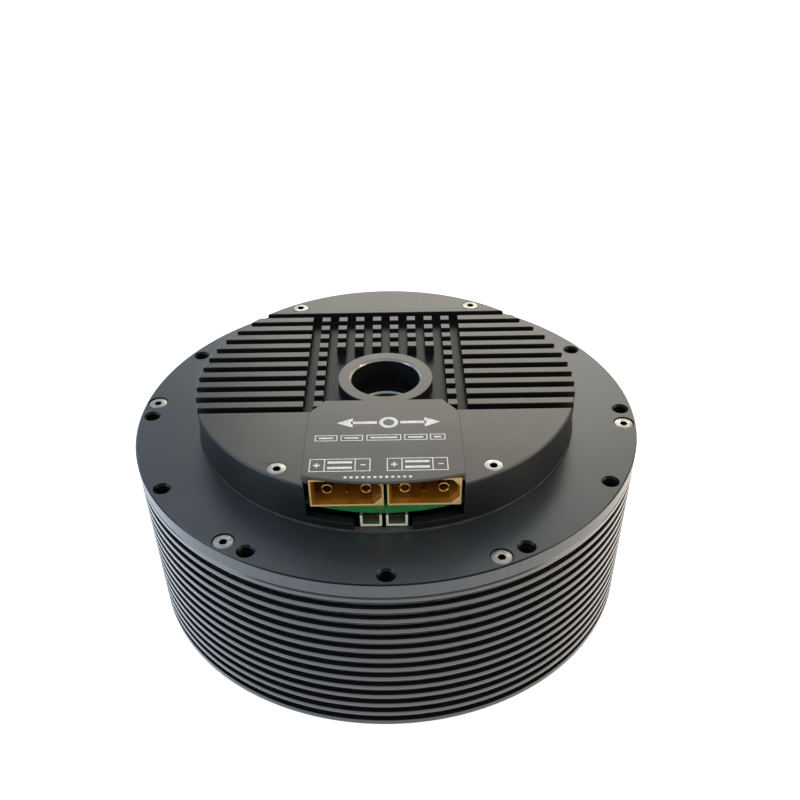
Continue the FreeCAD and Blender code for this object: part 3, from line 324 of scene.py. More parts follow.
def makeRoom():
    # an even pale light; a reflection sees white walls under a grey ceiling, the camera plain white
    world = bpy.data.worlds.new("studio")
    world.use_nodes = True
    tree = world.node_tree
    tree.nodes.clear()
    path = addNode(tree, "LightPath").outputs
    aim = addNode(tree, "TexCoord").outputs["Generated"]
    split = addNode(tree, "SeparateXYZ", links={0: aim}).outputs
    walls = addNode(tree, "ValToRGB", {"stops": studio["roomStops"]}, {"Fac": split["Z"]})
    tinted = addNode(
        tree,
        "Mix",
        {"data_type": "RGBA", "blend_type": "MULTIPLY", 0: 1.0},
        {6: walls, 7: sideTint(tree, split["X"], studio["roomTintReach"])},
    ).outputs[2]
    plain = {"Color": toLinear(studio["roomColour"]), "Strength": studio["roomLevel"]}
    room = addNode(tree, "Background", plain)
    reflected = addNode(tree, "Background", links={"Color": tinted})
    white = addNode(tree, "Background", {"Color": (1, 1, 1, 1)})
    either = {0: path["Is Camera Ray"], 1: path["Is Transmission Ray"]}
    seen = addNode(tree, "Math", {"operation": "MAXIMUM"}, either)
    unseen = addNode(tree, "MixShader", links={0: path["Is Glossy Ray"], 1: room, 2: reflected})
    final = addNode(tree, "MixShader", links={0: seen, 1: unseen, 2: white})
    addNode(tree, "OutputWorld", links={"Surface": final})
    bpy.context.scene.world = world


def makeLamp(name):
    facts = studio[name]
    data = bpy.data.lights.new(name, "AREA")
    data.shape = "RECTANGLE"
    data.size, data.size_y = (s * mm for s in facts["size"])
    data.energy = facts["level"] * data.size * data.size_y * math.pi
    data.color = toLinear(facts["colour"])[:3]
    lamp = bpy.data.objects.new(name, data)
    bpy.context.scene.collection.objects.link(lamp)
    lamp.location = Vector(facts["place"]) * mm
    lamp.visible_camera = False
    toObject = Vector(studio["aim"]) * mm - lamp.location
    lamp.rotation_euler = toObject.to_track_quat("-Z", "Y").to_euler()


bpy.context.scene.view_settings.view_transform = "Standard"
makeCamera()
makeFloor()
makeRoom()
for name in ("backLamp", "rightLamp", "leftLamp"):
    makeLamp(name)
print("floor, room and lamps made")

# Finishes of the metal parts

# The hard, clear, dyed skin of anodised aluminium: it mirrors a little over black, most where it is seen at a
# low angle, and its dye scatters some light, so the metal counts for less than 1.
skins = {
    "blasted": {"Metallic": 0.8, "Coat Weight": 0.6, "Coat IOR": 1.6, "Coat Roughness": 0.26},
    "faced": {"Metallic": 0.6, "Coat Weight": 0.6, "Coat IOR": 1.6, "Coat Roughness": 0.28},
    "turned": {"Metallic": 0.8, "Coat Weight": 1.0, "Coat IOR": 1.65, "Coat Roughness": 0.2},
}


def turnedMetal(name, dark, light, rough, ringSize=0.6, depth=0.006, skin=None, shadedRecess=None):
    # Metal turned in a lathe: feed marks run round the axis as faint rings, over slow clouds of tone.
    # Real feed marks are about 0.1 mm apart; they are drawn ringSize apart so that they show.
    # A recess, up to a height and inside a radius, gets a deeper colour that is painted shade,
    # and may be without the skin's mirror too.
    cloudSize, grainSize, fade = 35, 0.35, 0.06
    material, tree, shader, place = startMaterial(name, {"Metallic": 1.0, **(skin or {})})
    radius, height = fromAxis(tree, place)
    across = addNode(tree, "Math", {"operation": "ADD"}, {0: radius, 1: height})
    ringSettings = {"noise_dimensions": "1D", "Scale": 1000 / ringSize, "Detail": 3}
    rings = addNode(tree, "TexNoise", ringSettings, {"W": across})
    cloud = addNode(tree, "TexNoise", {"Scale": 1000 / cloudSize, "Detail": 3}, {"Vector": place})
    grain = addNode(tree, "TexNoise", {"Scale": 1000 / grainSize, "Detail": 2}, {"Vector": place})
    blend = addNode(tree, "Math", {"operation": "MULTIPLY_ADD", 1: 0.35}, {0: rings, 2: cloud})
    colour = addNode(tree, "ValToRGB", {"stops": [(0.4, dark), (0.95, light)]}, {"Fac": blend})
    # painted shade: the recess's deeper colour, mixed in by the share that lies free of it
    if shadedRecess:
        level, (inner, outer) = shadedRecess["level"], shadedRecess["reach"]
        smooth = {"interpolation_type": "SMOOTHSTEP"}
        above = addNode(tree, "MapRange", {**smooth, 1: level * mm, 2: (level + fade) * mm}, {0: height})
        outside = addNode(tree, "MapRange", {**smooth, 1: inner * mm, 2: outer * mm}, {0: radius})
        free = addNode(tree, "Math", {"operation": "MAXIMUM"}, {0: above, 1: outside})
        tones = {"data_type": "RGBA", 6: toLinear(shadedRecess["colour"])}
        colour = addNode(tree, "Mix", tones, {0: free, 7: colour}).outputs[2]
        if shadedRecess["noMirrorInShade"]:
            coat = addNode(tree, "Math", {"operation": "MULTIPLY", 1: skin["Coat Weight"]}, {0: free})
            tree.links.new(coat.outputs[0], shader.inputs["Coat Weight"])
    mixed = addNode(tree, "Math", {"operation": "MULTIPLY_ADD", 1: 0.3}, {0: grain, 2: rings})
    gloss = [(0.35, rough[0]), (1.0, rough[1])]
    wireFinish(tree, shader, colour, (mixed, gloss), [(rings, depth), (grain, depth * 0.7)])
    return material


def blastedBlack(name, dark, light, rough, shadedRecess=None, bare=None):
    # Aluminium milled, bead blasted and black anodised: an even satin with a fine grain and no direction.
    # The real grain is under 0.1 mm and is drawn at 0.3 mm. Up to a recess's height, in slots and on walls,
    # a deeper colour is painted shade, and the skin's mirror is taken out there. Bare is a bright chamfer cut
    # after anodising, inside a radius and above a height.
    cloudSize, grainSize, fade = 25, 0.3, 0.1
    smooth = {"interpolation_type": "SMOOTHSTEP"}
    material, tree, shader, place = startMaterial(name, skins["blasted"])
    radius, height = fromAxis(tree, place)
    cloud = addNode(tree, "TexNoise", {"Scale": 1000 / cloudSize, "Detail": 4}, {"Vector": place})
    grain = addNode(tree, "TexNoise", {"Scale": 1000 / grainSize, "Detail": 1}, {"Vector": place})
    blend = addNode(tree, "Math", {"operation": "MULTIPLY_ADD", 1: 0.3}, {0: grain, 2: cloud})
    colour = addNode(tree, "ValToRGB", {"stops": [(0.4, dark), (0.9, light)]}, {"Fac": blend})
    roughness = addNode(tree, "ValToRGB", {"stops": [(0.3, rough[0]), (0.7, rough[1])]}, {"Fac": grain})
    # painted shade: below the level a deeper colour, and no skin's mirror
    if shadedRecess:
        level = shadedRecess["level"]
        free = addNode(tree, "MapRange", {**smooth, 1: level * mm, 2: (level + fade) * mm}, {0: height})
        tones = {"data_type": "RGBA", 6: toLinear(shadedRecess["colour"])}
        colour = addNode(tree, "Mix", tones, {0: free, 7: colour}).outputs[2]
        weight = skins["blasted"]["Coat Weight"]
        coat = addNode(tree, "Math", {"operation": "MULTIPLY", 1: weight}, {0: free})
        tree.links.new(coat.outputs[0], shader.inputs["Coat Weight"])
    if bare:
        radiusEnds = {1: bare["radius"] * mm, 2: (bare["radius"] + bare["fade"]) * mm}
        levelEnds = {1: bare["level"] * mm, 2: (bare["level"] + bare["fade"]) * mm}
        outside = addNode(tree, "MapRange", {**smooth, **radiusEnds}, {0: radius})
        above = addNode(tree, "MapRange", {**smooth, **levelEnds}, {0: height})
        below = addNode(tree, "Math", {"operation": "SUBTRACT", 0: 1.0}, {1: above})
        black = addNode(tree, "Math", {"operation": "MAXIMUM"}, {0: outside, 1: below})
        tones = {"data_type": "RGBA", 6: toLinear(bare["colour"])}
        colour = addNode(tree, "Mix", tones, {0: black, 7: colour}).outputs[2]
        roughness = addNode(tree, "Mix", {2: bare["roughness"]}, {0: black, 3: roughness})
    wireFinish(tree, shader, colour, roughness, [(grain, 0.008)])
    return material


def headedSteel(name, dark, light, rough, socketShade):
    # Cold headed screws, polished in a drum with many others: smooth, with small dents and rubbed patches,
    # and painted shade in the socket: a darker colour where the attribute "socket" is 1.
    patchSize, dentSize = 1.6, 0.5
    material, tree, shader, place = startMaterial(name, {"Metallic": 1.0})
    inside = addNode(tree, "Attribute", {"attribute_name": "socket"}).outputs["Fac"]
    rubbed = addNode(tree, "TexNoise", {"Scale": 1000 / patchSize, "Detail": 3}, {"Vector": place})
    dents = addNode(tree, "TexVoronoi", {"Scale": 1000 / dentSize}, {"Vector": place})
    outer = addNode(tree, "ValToRGB", {"stops": [(0.35, dark), (0.65, light)]}, {"Fac": rubbed})
    # painted shade: the socket's dark colour stands in for the shade inside it
    tones = {"data_type": "RGBA", 7: toLinear(socketShade)}
    colour = addNode(tree, "Mix", tones, {0: inside, 6: outer}).outputs[2]
    wireFinish(tree, shader, colour, (rubbed, [(0.3, rough[1]), (0.7, rough[0])]), [(dents, 0.012)])
    return material


def hobbedSteel(name, dark, light):
    # Case hardened gear steel, hobbed and ground: grey, with fine lines along each tooth and a film of
    # grease. Lines 0.05 mm apart are drawn at 0.3 mm.
    lineSize, cloudSize = 0.3, 9
    film = {"Coat Weight": 0.25, "Coat Roughness": 0.2}
    material, tree, shader, place = startMaterial(name, {"Metallic": 1.0, **film})
    drawn = addNode(tree, "VectorMath", {"operation": "MULTIPLY", 1: (1, 1, 0.03)}, {0: place})
    lines = addNode(tree, "TexNoise", {"Scale": 1000 / lineSize, "Detail": 2}, {"Vector": drawn})
    cloud = addNode(tree, "TexNoise", {"Scale": 1000 / cloudSize, "Detail": 3}, {"Vector": place})
    blend = addNode(tree, "Math", {"operation": "MULTIPLY_ADD", 1: 0.4}, {0: lines, 2: cloud})
    tones, gloss = [(0.45, dark), (0.95, light)], [(0.3, 0.24), (0.7, 0.38)]
    wireFinish(tree, shader, (blend, tones), (lines, gloss), [(lines, 0.006)])
    return material


def stackedSheets(name, dark, light, sheet):
    # Electrical steel: a stack of thin punched sheets, seen as fine bands one above another, bluish from
    # annealing. Sheets of 0.35 mm are drawn twice as thick.
    cloudSize = 6
    material, tree, shader, place = startMaterial(name, {"Metallic": 1.0})
    bandSettings = {"bands_direction": "Z", "Scale": math.pi / 10 * 1000 / sheet, "Distortion": 0.4}
    bands = addNode(tree, "TexWave", bandSettings, {"Vector": place}).outputs["Fac"]
    cloud = addNode(tree, "TexNoise", {"Scale": 1000 / cloudSize, "Detail": 3}, {"Vector": place})
    blend = addNode(tree, "Math", {"operation": "MULTIPLY_ADD", 1: 0.3}, {0: bands, 2: cloud})
    tones, gloss = [(0.35, dark), (0.95, light)], [(0.2, 0.6), (0.8, 0.38)]
    wireFinish(tree, shader, (blend, tones), (bands, gloss), [(bands, 0.05)])
    return material


def woundCopper(name, dark, light, wire):
    # Enamelled copper wire wound in layers: round shiny turns side by side, with painted shade darkening the
    # gaps between them.
    cloudSize = 4
    enamel = {"Coat Weight": 0.7, "Coat Roughness": 0.12}
    material, tree, shader, place = startMaterial(name, {"Metallic": 1.0, **enamel})
    radius, _ = fromAxis(tree, place)
    turn = addNode(tree, "Math", {"operation": "MULTIPLY", 1: 2000 * math.pi / wire}, {0: radius})
    swellAndGapShade = addNode(tree, "Math", {"operation": "SINE"}, {0: turn})
    cloud = addNode(tree, "TexNoise", {"Scale": 1000 / cloudSize, "Detail": 3}, {"Vector": place})
    blend = addNode(tree, "Math", {"operation": "MULTIPLY_ADD", 1: 0.25}, {0: swellAndGapShade, 2: cloud})
    tones, gloss = [(0.25, dark), (0.75, light)], [(0.3, 0.22), (0.7, 0.34)]
    wireFinish(tree, shader, (blend, tones), (cloud, gloss), [(swellAndGapShade, 0.12)])
    return material


def platedMetal(name, dark, light, rough, speckle=0.8):
    # Plated metal, such as nickel on a magnet or gold on a contact: bright, with a faint orange peel.
    cloudSize = 5
    material, tree, shader, place = startMaterial(name, {"Metallic": 1.0})
    peel = addNode(tree, "TexNoise", {"Scale": 1000 / speckle, "Detail": 2}, {"Vector": place})
    cloud = addNode(tree, "TexNoise", {"Scale": 1000 / cloudSize, "Detail": 3}, {"Vector": place})
    tones, gloss = [(0.35, dark), (0.65, light)], [(0.3, rough[0]), (0.7, rough[1])]
    wireFinish(tree, shader, (cloud, tones), (peel, gloss), [(peel, 0.01)])
    return material


def porousBronze(name, dark, light):
    # Sintered bronze soaked in oil: a dull brown gold, dotted with small dark pores.
    poreSize, cloudSize = 0.45, 3
    material, tree, shader, place = startMaterial(name, {"Metallic": 1.0})
    pores = addNode(tree, "TexVoronoi", {"Scale": 1000 / poreSize}, {"Vector": place})
    cloud = addNode(tree, "TexNoise", {"Scale": 1000 / cloudSize, "Detail": 3}, {"Vector": place})
    blend = addNode(tree, "Math", {"operation": "MULTIPLY_ADD", 1: 0.5}, {0: pores, 2: cloud})
    tones, gloss = [(0.45, dark), (0.8, light)], [(0.1, 0.6), (0.5, 0.4)]
    wireFinish(tree, shader, (blend, tones), (pores, gloss), [(pores, 0.03)])
    return material


# Finishes of the other parts


def mouldedPlastic(name, dark, light, rough, settings, rim):
    # Injection moulded plastic: one colour through and through, slow clouds of tone where it flowed, a fine
    # die grain. Its front edge, up to the place that rim gives, takes the rim's paler colour: on the amber
    # nylon a painted highlight, on the ivory nylon its own colour in front of painted shade.
    cloudSize, grainSize, fade = 7, 0.5, 0.25
    litRimColour, rimEnd = rim
    material, tree, shader, place = startMaterial(name, {"IOR": 1.53, **settings})
    cloud = addNode(tree, "TexNoise", {"Scale": 1000 / cloudSize, "Detail": 3}, {"Vector": place})
    grain = addNode(tree, "TexNoise", {"Scale": 1000 / grainSize, "Detail": 1}, {"Vector": place})
    back = addNode(tree, "SeparateXYZ", links={0: place}).outputs["Y"]
    ends = {"interpolation_type": "SMOOTHSTEP", 1: rimEnd * mm, 2: (rimEnd + fade) * mm}
    behindLitRim = addNode(tree, "MapRange", ends, {0: back})
    inner = addNode(tree, "ValToRGB", {"stops": [(0.3, dark), (0.7, light)]}, {"Fac": cloud})
    # the lit rim and the tones behind it: painted highlight or painted shade, as each finish's entry says
    tones = {"data_type": "RGBA", 6: toLinear(litRimColour)}
    colour = addNode(tree, "Mix", tones, {0: behindLitRim, 7: inner}).outputs[2]
    wireFinish(tree, shader, colour, (grain, [(0.3, rough[0]), (0.7, rough[1])]), [(grain, 0.006)])
    return material


def grainedBlock(name, dark, light, rough, grainSize, depth, ior):
    # Pressed or moulded grains under a matt surface, as in ferrite, rubber, epoxy and fibre: softly mottled.
    cloudSize = grainSize * 12
    material, tree, shader, place = startMaterial(name, {"IOR": ior})
    cells = addNode(tree, "TexVoronoi", {"Scale": 1000 / grainSize}, {"Vector": place})
    cloud = addNode(tree, "TexNoise", {"Scale": 1000 / cloudSize, "Detail": 4}, {"Vector": place})
    blend = addNode(tree, "Math", {"operation": "MULTIPLY_ADD", 1: 0.35}, {0: cells, 2: cloud})
    tones, gloss = [(0.4, dark), (0.85, light)], [(0.1, rough[0]), (0.6, rough[1])]
    wireFinish(tree, shader, (blend, tones), (cells, gloss), [(cells, depth)])
    return material


def solderMask(name, mask, trace, pad):
    # Glass fibre board under green solder mask: glossy, paler where copper runs beneath, with tinned pads.
    # Tracks 0.15 mm wide are drawn at 0.5 mm.
    squareSize, cloudSize = 3.2, 12
    lacquer = {"Coat Weight": 0.4, "Coat Roughness": 0.15}
    material, tree, shader, place = startMaterial(name, {"IOR": 1.55, **lacquer})
    squareSettings = {"distance": "CHEBYCHEV", "Scale": 1000 / squareSize}
    squares = addNode(tree, "TexVoronoi", squareSettings, {"Vector": place})
    step = addNode(tree, "Math", {"operation": "MULTIPLY", 1: 5.0}, {0: squares})
    tracks = addNode(tree, "Math", {"operation": "PINGPONG", 1: 0.5}, {0: step})
    copper = addNode(tree, "ValToRGB", {"stops": [(0.28, 0.0), (0.36, 1.0)]}, {"Fac": tracks})
    pads = addNode(tree, "ValToRGB", {"stops": [(0.1, 1.0), (0.13, 0.0)]}, {"Fac": squares})
    cloud = addNode(tree, "TexNoise", {"Scale": 1000 / cloudSize, "Detail": 3}, {"Vector": place})
    masked = addNode(tree, "ValToRGB", {"stops": [(0.3, mask), (0.7, trace)]}, {"Fac": cloud})
    traceTone, padTone = ({"data_type": "RGBA", 7: toLinear(c)} for c in (trace, pad))
    covered = addNode(tree, "Mix", traceTone, {0: copper, 6: masked}).outputs[2]
    colour = addNode(tree, "Mix", padTone, {0: pads, 6: covered}).outputs[2]
    wireFinish(tree, shader, colour, (cloud, [(0.3, 0.28), (0.7, 0.4)]), [(copper, 0.03)])
    return material


def printedInk(name, dark, light):
    # White screen-printed ink: flat and chalky, a little thin in places.
    thinSize = 1.2
    material, tree, shader, place = startMaterial(name, {"IOR": 1.45})
    thin = addNode(tree, "TexNoise", {"Scale": 1000 / thinSize, "Detail": 4}, {"Vector": place})
    tones, gloss = [(0.3, dark), (0.6, light)], [(0.3, 0.6), (0.7, 0.75)]
    wireFinish(tree, shader, (thin, tones), (thin, gloss), [(thin, 0.004)])
    return material


finHousing = turnedMetal(
    "turned black anodised aluminium",
    "#1b1d1e",
    "#27292b",
    (0.24, 0.36),
    skin=skins["turned"],
    # a level above the whole part leaves it to the radius: the grooves are deep, and painted shade darkens
    # their floors and walls, while the fins' rims are left out of it
    shadedRecess={"colour": "#17191b", "level": 200, "reach": (95.9, 96.95), "noMirrorInShade": False},
)
plateBlack = turnedMetal(
    "faced black anodised aluminium",
    "#353b3f",
    "#40464a",
    (0.3, 0.42),
    skin=skins["faced"],
    # painted shade in the holes' mouths and on the plate's lower chamfer at the seam, with the mirror taken
    # out
    shadedRecess={"colour": "#101112", "level": 70.93, "reach": (96.93, 96.98), "noMirrorInShade": True},
)
coverBlack = blastedBlack(
    "blasted black anodised aluminium",
    "#3b3b38",
    "#484844",
    (0.32, 0.43),
    # painted shade in the slots and on the walls below the top land
    shadedRecess={"colour": "#2f3233", "level": 87.1},
    bare={"colour": "#a8a8a2", "roughness": 0.107, "radius": 13.74, "level": 86.52, "fade": 0.04},
)
lidBlack = blastedBlack("milled black anodised aluminium", "#3f3f3c", "#4b4b47", (0.34, 0.45))
# darker than the faced plate: the thread's colour is painted shade deep inside the holes
shadedThreadBlack = turnedMetal("black anodised thread", "#0f1011", "#1a1b1d", (0.5, 0.62))
printWhite = printedInk("white screen print", "#cfcfc8", "#f0f0ea")
amberGlow = {"Subsurface Weight": 0.35, "Subsurface Radius": (1.0, 0.42, 0.08), "Subsurface Scale": 0.0015}
ivoryGlow = {"Subsurface Weight": 0.2, "Subsurface Radius": (1.0, 0.9, 0.7), "Subsurface Scale": 0.001}

finishes = {
    "black_anodised_aluminium": finHousing,
    "black_lid": lidBlack,
    "bright_steel_screw": headedSteel("stainless steel screws", "#aeada8", "#cccbc6", (0.26, 0.4), "#1a1a19"),
    "black_screw": headedSteel("black oxide steel screws", "#202124", "#34353a", (0.32, 0.5), "#0c0c0d"),
    "gear_steel": hobbedSteel("ground gear steel", "#8a8b8c", "#a9aaab"),
    "bearing_steel": turnedMetal("ground bearing steel", "#a8a9a9", "#c4c5c5", (0.12, 0.22), 0.4, 0.002),
    "turned_steel": turnedMetal("turned steel tube", "#a9a8a2", "#cbcac3", (0.16, 0.3), 0.5, 0.004),
    "turned_aluminium": turnedMetal("turned aluminium", "#b4b5b6", "#d0d1d2", (0.24, 0.36), 0.6, 0.006),
    "electrical_steel": stackedSheets("stacked electrical steel", "#4c5057", "#7c828a", 0.7),
    "copper_winding": woundCopper("enamelled copper wire", "#7a3a1c", "#c8703c", 0.9),
    "magnet_plating": platedMetal("nickel plated magnets", "#9a9b98", "#bbbcb8", (0.18, 0.3)),
    "encoder_ferrite": grainedBlock("pressed ferrite", "#242527", "#3a3b3d", (0.45, 0.65), 0.3, 0.02, 1.8),
    "black_rubber": grainedBlock(
        "moulded nitrile rubber", "#131314", "#222224", (0.55, 0.72), 0.4, 0.015, 1.52
    ),
    "grey_gasket": grainedBlock("compressed fibre sheet", "#2c2c2b", "#454543", (0.7, 0.85), 0.5, 0.04, 1.45),
    "green_circuit_board": solderMask("green solder mask", "#135a2c", "#1f7a42", "#c9b37a"),
    "black_chip": grainedBlock("moulded chip epoxy", "#17181a", "#2a2b2d", (0.5, 0.65), 0.25, 0.01, 1.55),
    "capacitor_can": platedMetal("aluminium capacitor cans", "#a4a6a8", "#c2c4c6", (0.25, 0.38)),
    # the pale rim colour is a painted highlight on the shell's front edge
    "amber_plastic": mouldedPlastic(
        "amber nylon", "#7e4c12", "#b07426", (0.18, 0.28), amberGlow, ("#d4b67c", -66.2)
    ),
    "gold_contact": platedMetal("gold plated contacts", "#b08a44", "#d9b468", (0.18, 0.3), 0.6),
    # the green-grey tones behind the ivory rim are painted shade with a painted green reflection of the board
    "ivory_plastic": mouldedPlastic(
        "ivory nylon", "#46593c", "#5b6b4a", (0.34, 0.46), ivoryGlow, ("#dddac8", -69.5)
    ),
    "bronze_bush": porousBronze("sintered bronze", "#6e4f2c", "#a57d49"),
}
slotOf = {row["node"]: row["material_slot"] for row in frame["record"]["subparts"]}
for name, node in nodes.items():
    node.data.materials.clear()
    node.data.materials.append(finishes[slotOf[name]])
nodes["rear_plate"].data.materials[0] = plateBlack
print("finishes made:", len(bpy.data.materials))

# Finned housing

housing = {
    "radius": 97,
    "height": 65,
    "edge": 0.5,
    "grooves": 13,
    "firstGroove": 2.5,
    "pitch": 4.8,
    "width": 2.8,
    "depth": 2.2,
    "lip": 0.22,
    "fillet": 0.35,
    "sides": 288,
    # radius and height of the inside, from the seal's groove in the top down to the foot
    "inner": [
        (88.2, 65), (88.2, 63.6), (86.4, 63.6), (86.4, 65), (84, 65), (84, 50),
        (80, 50), (80, 16), (84, 16), (84, 4), (91, 4), (91, 0),
    ],
}


def makeHousing():
    # the outline from the bottom rim up: each groove has rounded lips and filleted floor corners
    facts = housing
    outer, edge = facts["radius"], facts["edge"]
    profile = [(outer - edge, 0), (outer, edge)]
    floor, lip, fillet = outer - facts["depth"], facts["lip"], facts["fillet"]
    for index in range(facts["grooves"]):
        low = facts["firstGroove"] + index * facts["pitch"]
        high = low + facts["width"]
        profile += arc((outer - lip, low - lip), lip, 0, 90)
        profile += arc((floor + fillet, low + fillet), fillet, 270, 180)
        profile += arc((floor + fillet, high - fillet), fillet, 180, 90)
        profile += arc((outer - lip, high + lip), lip, 270, 360)
    profile += [(outer, facts["height"] - edge), (outer - edge, facts["height"])] + facts["inner"]
    points, _, _ = turnedGrid(profile, facts["sides"])
    makePiece("finnedHousing", [(points, True, True)], finHousing, "housing", ["finned_housing"], 30)
    print("finned housing made")


makeHousing()

# Driver cover, lid and signal sockets: the built shapes with their edges broken

brokenEdge = {"driver_cover": 0.2, "connector_lid": 0.3, "signal_sockets": 0.12}
printThickness = 0.025


def makeBroken(node, finish, lowered=0):
    # a copy of a node with rounded edges; a lowered top leaves room for the print that lies on it
    mesh = mergedCopy(node, node + "Broken")
    if lowered:
        points = np.empty(len(mesh.vertices) * 3)
        mesh.vertices.foreach_get("co", points)
        points = points.reshape(-1, 3)
        points[points[:, 2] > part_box(node)[1].z - 0.001 * mm, 2] -= lowered * mm
        mesh.vertices.foreach_set("co", points.ravel())
    piece = finishPiece(node + "Broken", mesh, finish, "housing", [node])
    breakEdges(piece, brokenEdge[node])


makeBroken("driver_cover", coverBlack)
makeBroken("connector_lid", lidBlack, printThickness)
makeBroken("signal_sockets", finishes["ivory_plastic"])
print("cover, lid and signal sockets made")

# Shells of the power connectors

powerShell = {"wall": 1.3, "keyed": 2.6, "leadIn": 0.75, "leadInDepth": 2.2, "backWall": 2, "edge": 0.16}


def makePowerShell(node):
    # Loops of eight points carried from the back, over the front rim and down a lead-in slope to the socket's
    # floor. Each is the box moved in by an inset, and the inner ones have the corners on their right cut off.
    # A middle point closes each end.
    facts = powerShell
    low, high = (np.array(corner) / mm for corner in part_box(node))
    keyed, wall, front = facts["keyed"], facts["wall"], low[1]
    floor = high[1] - facts["backWall"]
    inset = np.array([0, 0, wall - facts["leadIn"], wall, wall])[:, None]
    cut = np.array([0, 0, 1, 1, 1])[:, None] * keyed / 2
    back = np.array([high[1], front, front, front + facts["leadInDepth"], floor])[:, None]
    left, right, bottom, top = low[0] + inset, high[0] - inset, low[2] + inset, high[2] - inset
    x = np.concatenate([left, right - keyed, right - cut, right, right, right - cut, right - keyed, left], 1)
    z = np.concatenate([bottom, bottom, bottom + cut, bottom + keyed, top - keyed, top - cut, top, top], 1)
    loops = np.stack([x, back + 0 * x, z], -1)
    middle = (low + high) / 2
    ends = [np.tile([middle[0], y, middle[2]], (1, 8, 1)) for y in (high[1], floor)]
    points = np.concatenate([ends[0], loops, ends[1]]) * mm
    finish = finishes["amber_plastic"]
    piece = makePiece(node + "Shell", [(points, False, True)], finish, "housing", [node], 20)
    breakEdges(piece, facts["edge"], 15)


for name in ("power_connector_left", "power_connector_right"):
    makePowerShell(name)
print("power connector shells made")

# The tube's end, which stands a little way up inside the cover's boss

tubeEnd = {"inner": 11.2, "outer": 12.8, "low": 69.5, "top": 73.3, "slope": 0.65, "lip": 0.3, "sides": 144}


def makeTubeEnd():
    # a short ring, its upper end cut to a slope inside and rounded outside
    facts = tubeEnd
    inner, outer, low, top = facts["inner"], facts["outer"], facts["low"], facts["top"]
    slope, lip = facts["slope"], facts["lip"]
    profile = [(inner, low), (inner, top - slope), (inner + slope, top)]
    profile += arc((outer - lip, top - lip), lip, 90, 0) + [(outer, low)]
    points, _, _ = turnedGrid(profile, facts["sides"])
    slot = slotOf["hollow_shaft"]
    makePiece("tubeEnd", [(points, True, True)], finishes[slot], "output", sharp=30)
    print("tube end made")


makeTubeEnd()

# Print on the lid: a two-way turning arrow, five plain fields, two plug plans and a row of marks

lidPrint = {
    "line": 0.35,
    "sunk": 0.005,  # below the lid's face, so that the print is joined to it
    "arrow": {"from": -17, "to": 19.5, "middle": -35.2, "bar": 1.5, "head": 5.6, "lap": 0.9},
    "ring": {"inner": 2.0, "outer": 3.3, "gap": 0.8, "sides": 48},
    "fields": {
        "low": -46.0,
        "high": -42.6,
        "margin": (1.4, 1.3),
        "ends": [(-24.2, -16.4), (-15.3, -7.6), (-6.4, 5.6), (6.6, 14.6), (15.5, 20.8)],
    },
    "plans": {
        "low": -63.2,
        "high": -56.2,
        "starts": (-25.2, 0.6),
        "width": 20.4,
        "end": 4.9,
        "plus": (1.1, 0.3),
        "minus": (0.9, 0.25),
        "bars": {"margin": 1.2, "aside": 1.5, "half": 0.6},
    },
    "row": {"middle": -66.4, "from": -13, "to": 8.4, "count": 12, "size": 1.0},
}


def slab(outline, low, high):
    # a flat printed shape: rows run from the middle of the underside round the edge to the middle of the top
    outline = np.array(outline, float)
    middle = np.repeat(outline.mean(0)[None], len(outline), 0)
    flat = np.stack([middle, outline, outline, middle])
    height = np.array([low, low, high, high])[:, None, None] + 0 * flat[..., :1]
    return np.concatenate([flat, height], -1) * mm, False, True


def oblong(x0, y0, x1, y1):
    return [(x0, y0), (x1, y0), (x1, y1), (x0, y1)]


def around(x, y, halfWidth, halfHeight):
    return oblong(x - halfWidth, y - halfHeight, x + halfWidth, y + halfHeight)


def frameLines(x0, y0, x1, y1, line):
    # the four lines of a box
    return [
        oblong(x0, y0, x1, y0 + line),
        oblong(x0, y1 - line, x1, y1),
        oblong(x0, y0 + line, x0 + line, y1 - line),
        oblong(x1 - line, y0 + line, x1, y1 - line),
    ]


def arrowShapes():
    # two arrow heads that point away from each other, each with a bar that stops short of the middle ring
    arrow, ring = lidPrint["arrow"], lidPrint["ring"]
    middle, half, head = arrow["middle"], arrow["bar"] / 2, arrow["head"]
    centre = (arrow["from"] + arrow["to"]) / 2
    shapes = []
    for tip, way in ((arrow["from"], 1), (arrow["to"], -1)):
        base = tip + way * head
        shapes.append([(tip, middle), (base, middle - head / 2), (base, middle + head / 2)])
        near, far = sorted((tip + way * head * arrow["lap"], centre - way * (ring["outer"] + ring["gap"])))
        shapes.append(oblong(near, middle - half, far, middle + half))
    return shapes, (centre, middle)


def planShapes(x0):
    # a plug seen from its front: a plus in the left box, a minus in the right one, two bars between them
    plans, line = lidPrint["plans"], lidPrint["line"]
    low, high, span, bars = plans["low"], plans["high"], plans["end"], plans["bars"]
    (armLength, armHalf), (dashLength, dashHalf) = plans["plus"], plans["minus"]
    x1, level = x0 + plans["width"], (low + high) / 2
    plus, minus, arm = x0 + span / 2, x1 - span / 2, (armLength - armHalf) / 2
    shapes = frameLines(x0, low, x1, high, line)
    shapes.append(oblong(x0 + span, low + line, x0 + span + line, high - line))
    shapes.append(oblong(x1 - span - line, low + line, x1 - span, high - line))
    shapes.append(around(plus, level, armLength, armHalf))
    shapes.append(around(minus, level, dashLength, dashHalf))
    for side in (-1, 1):
        shapes.append(around(plus, level + side * (armHalf + arm), armHalf, arm))
        barLevel, margin = level + side * bars["aside"], span + bars["margin"]
        shapes.append(oblong(x0 + margin, barLevel - bars["half"], x1 - margin, barLevel + bars["half"]))
    return shapes


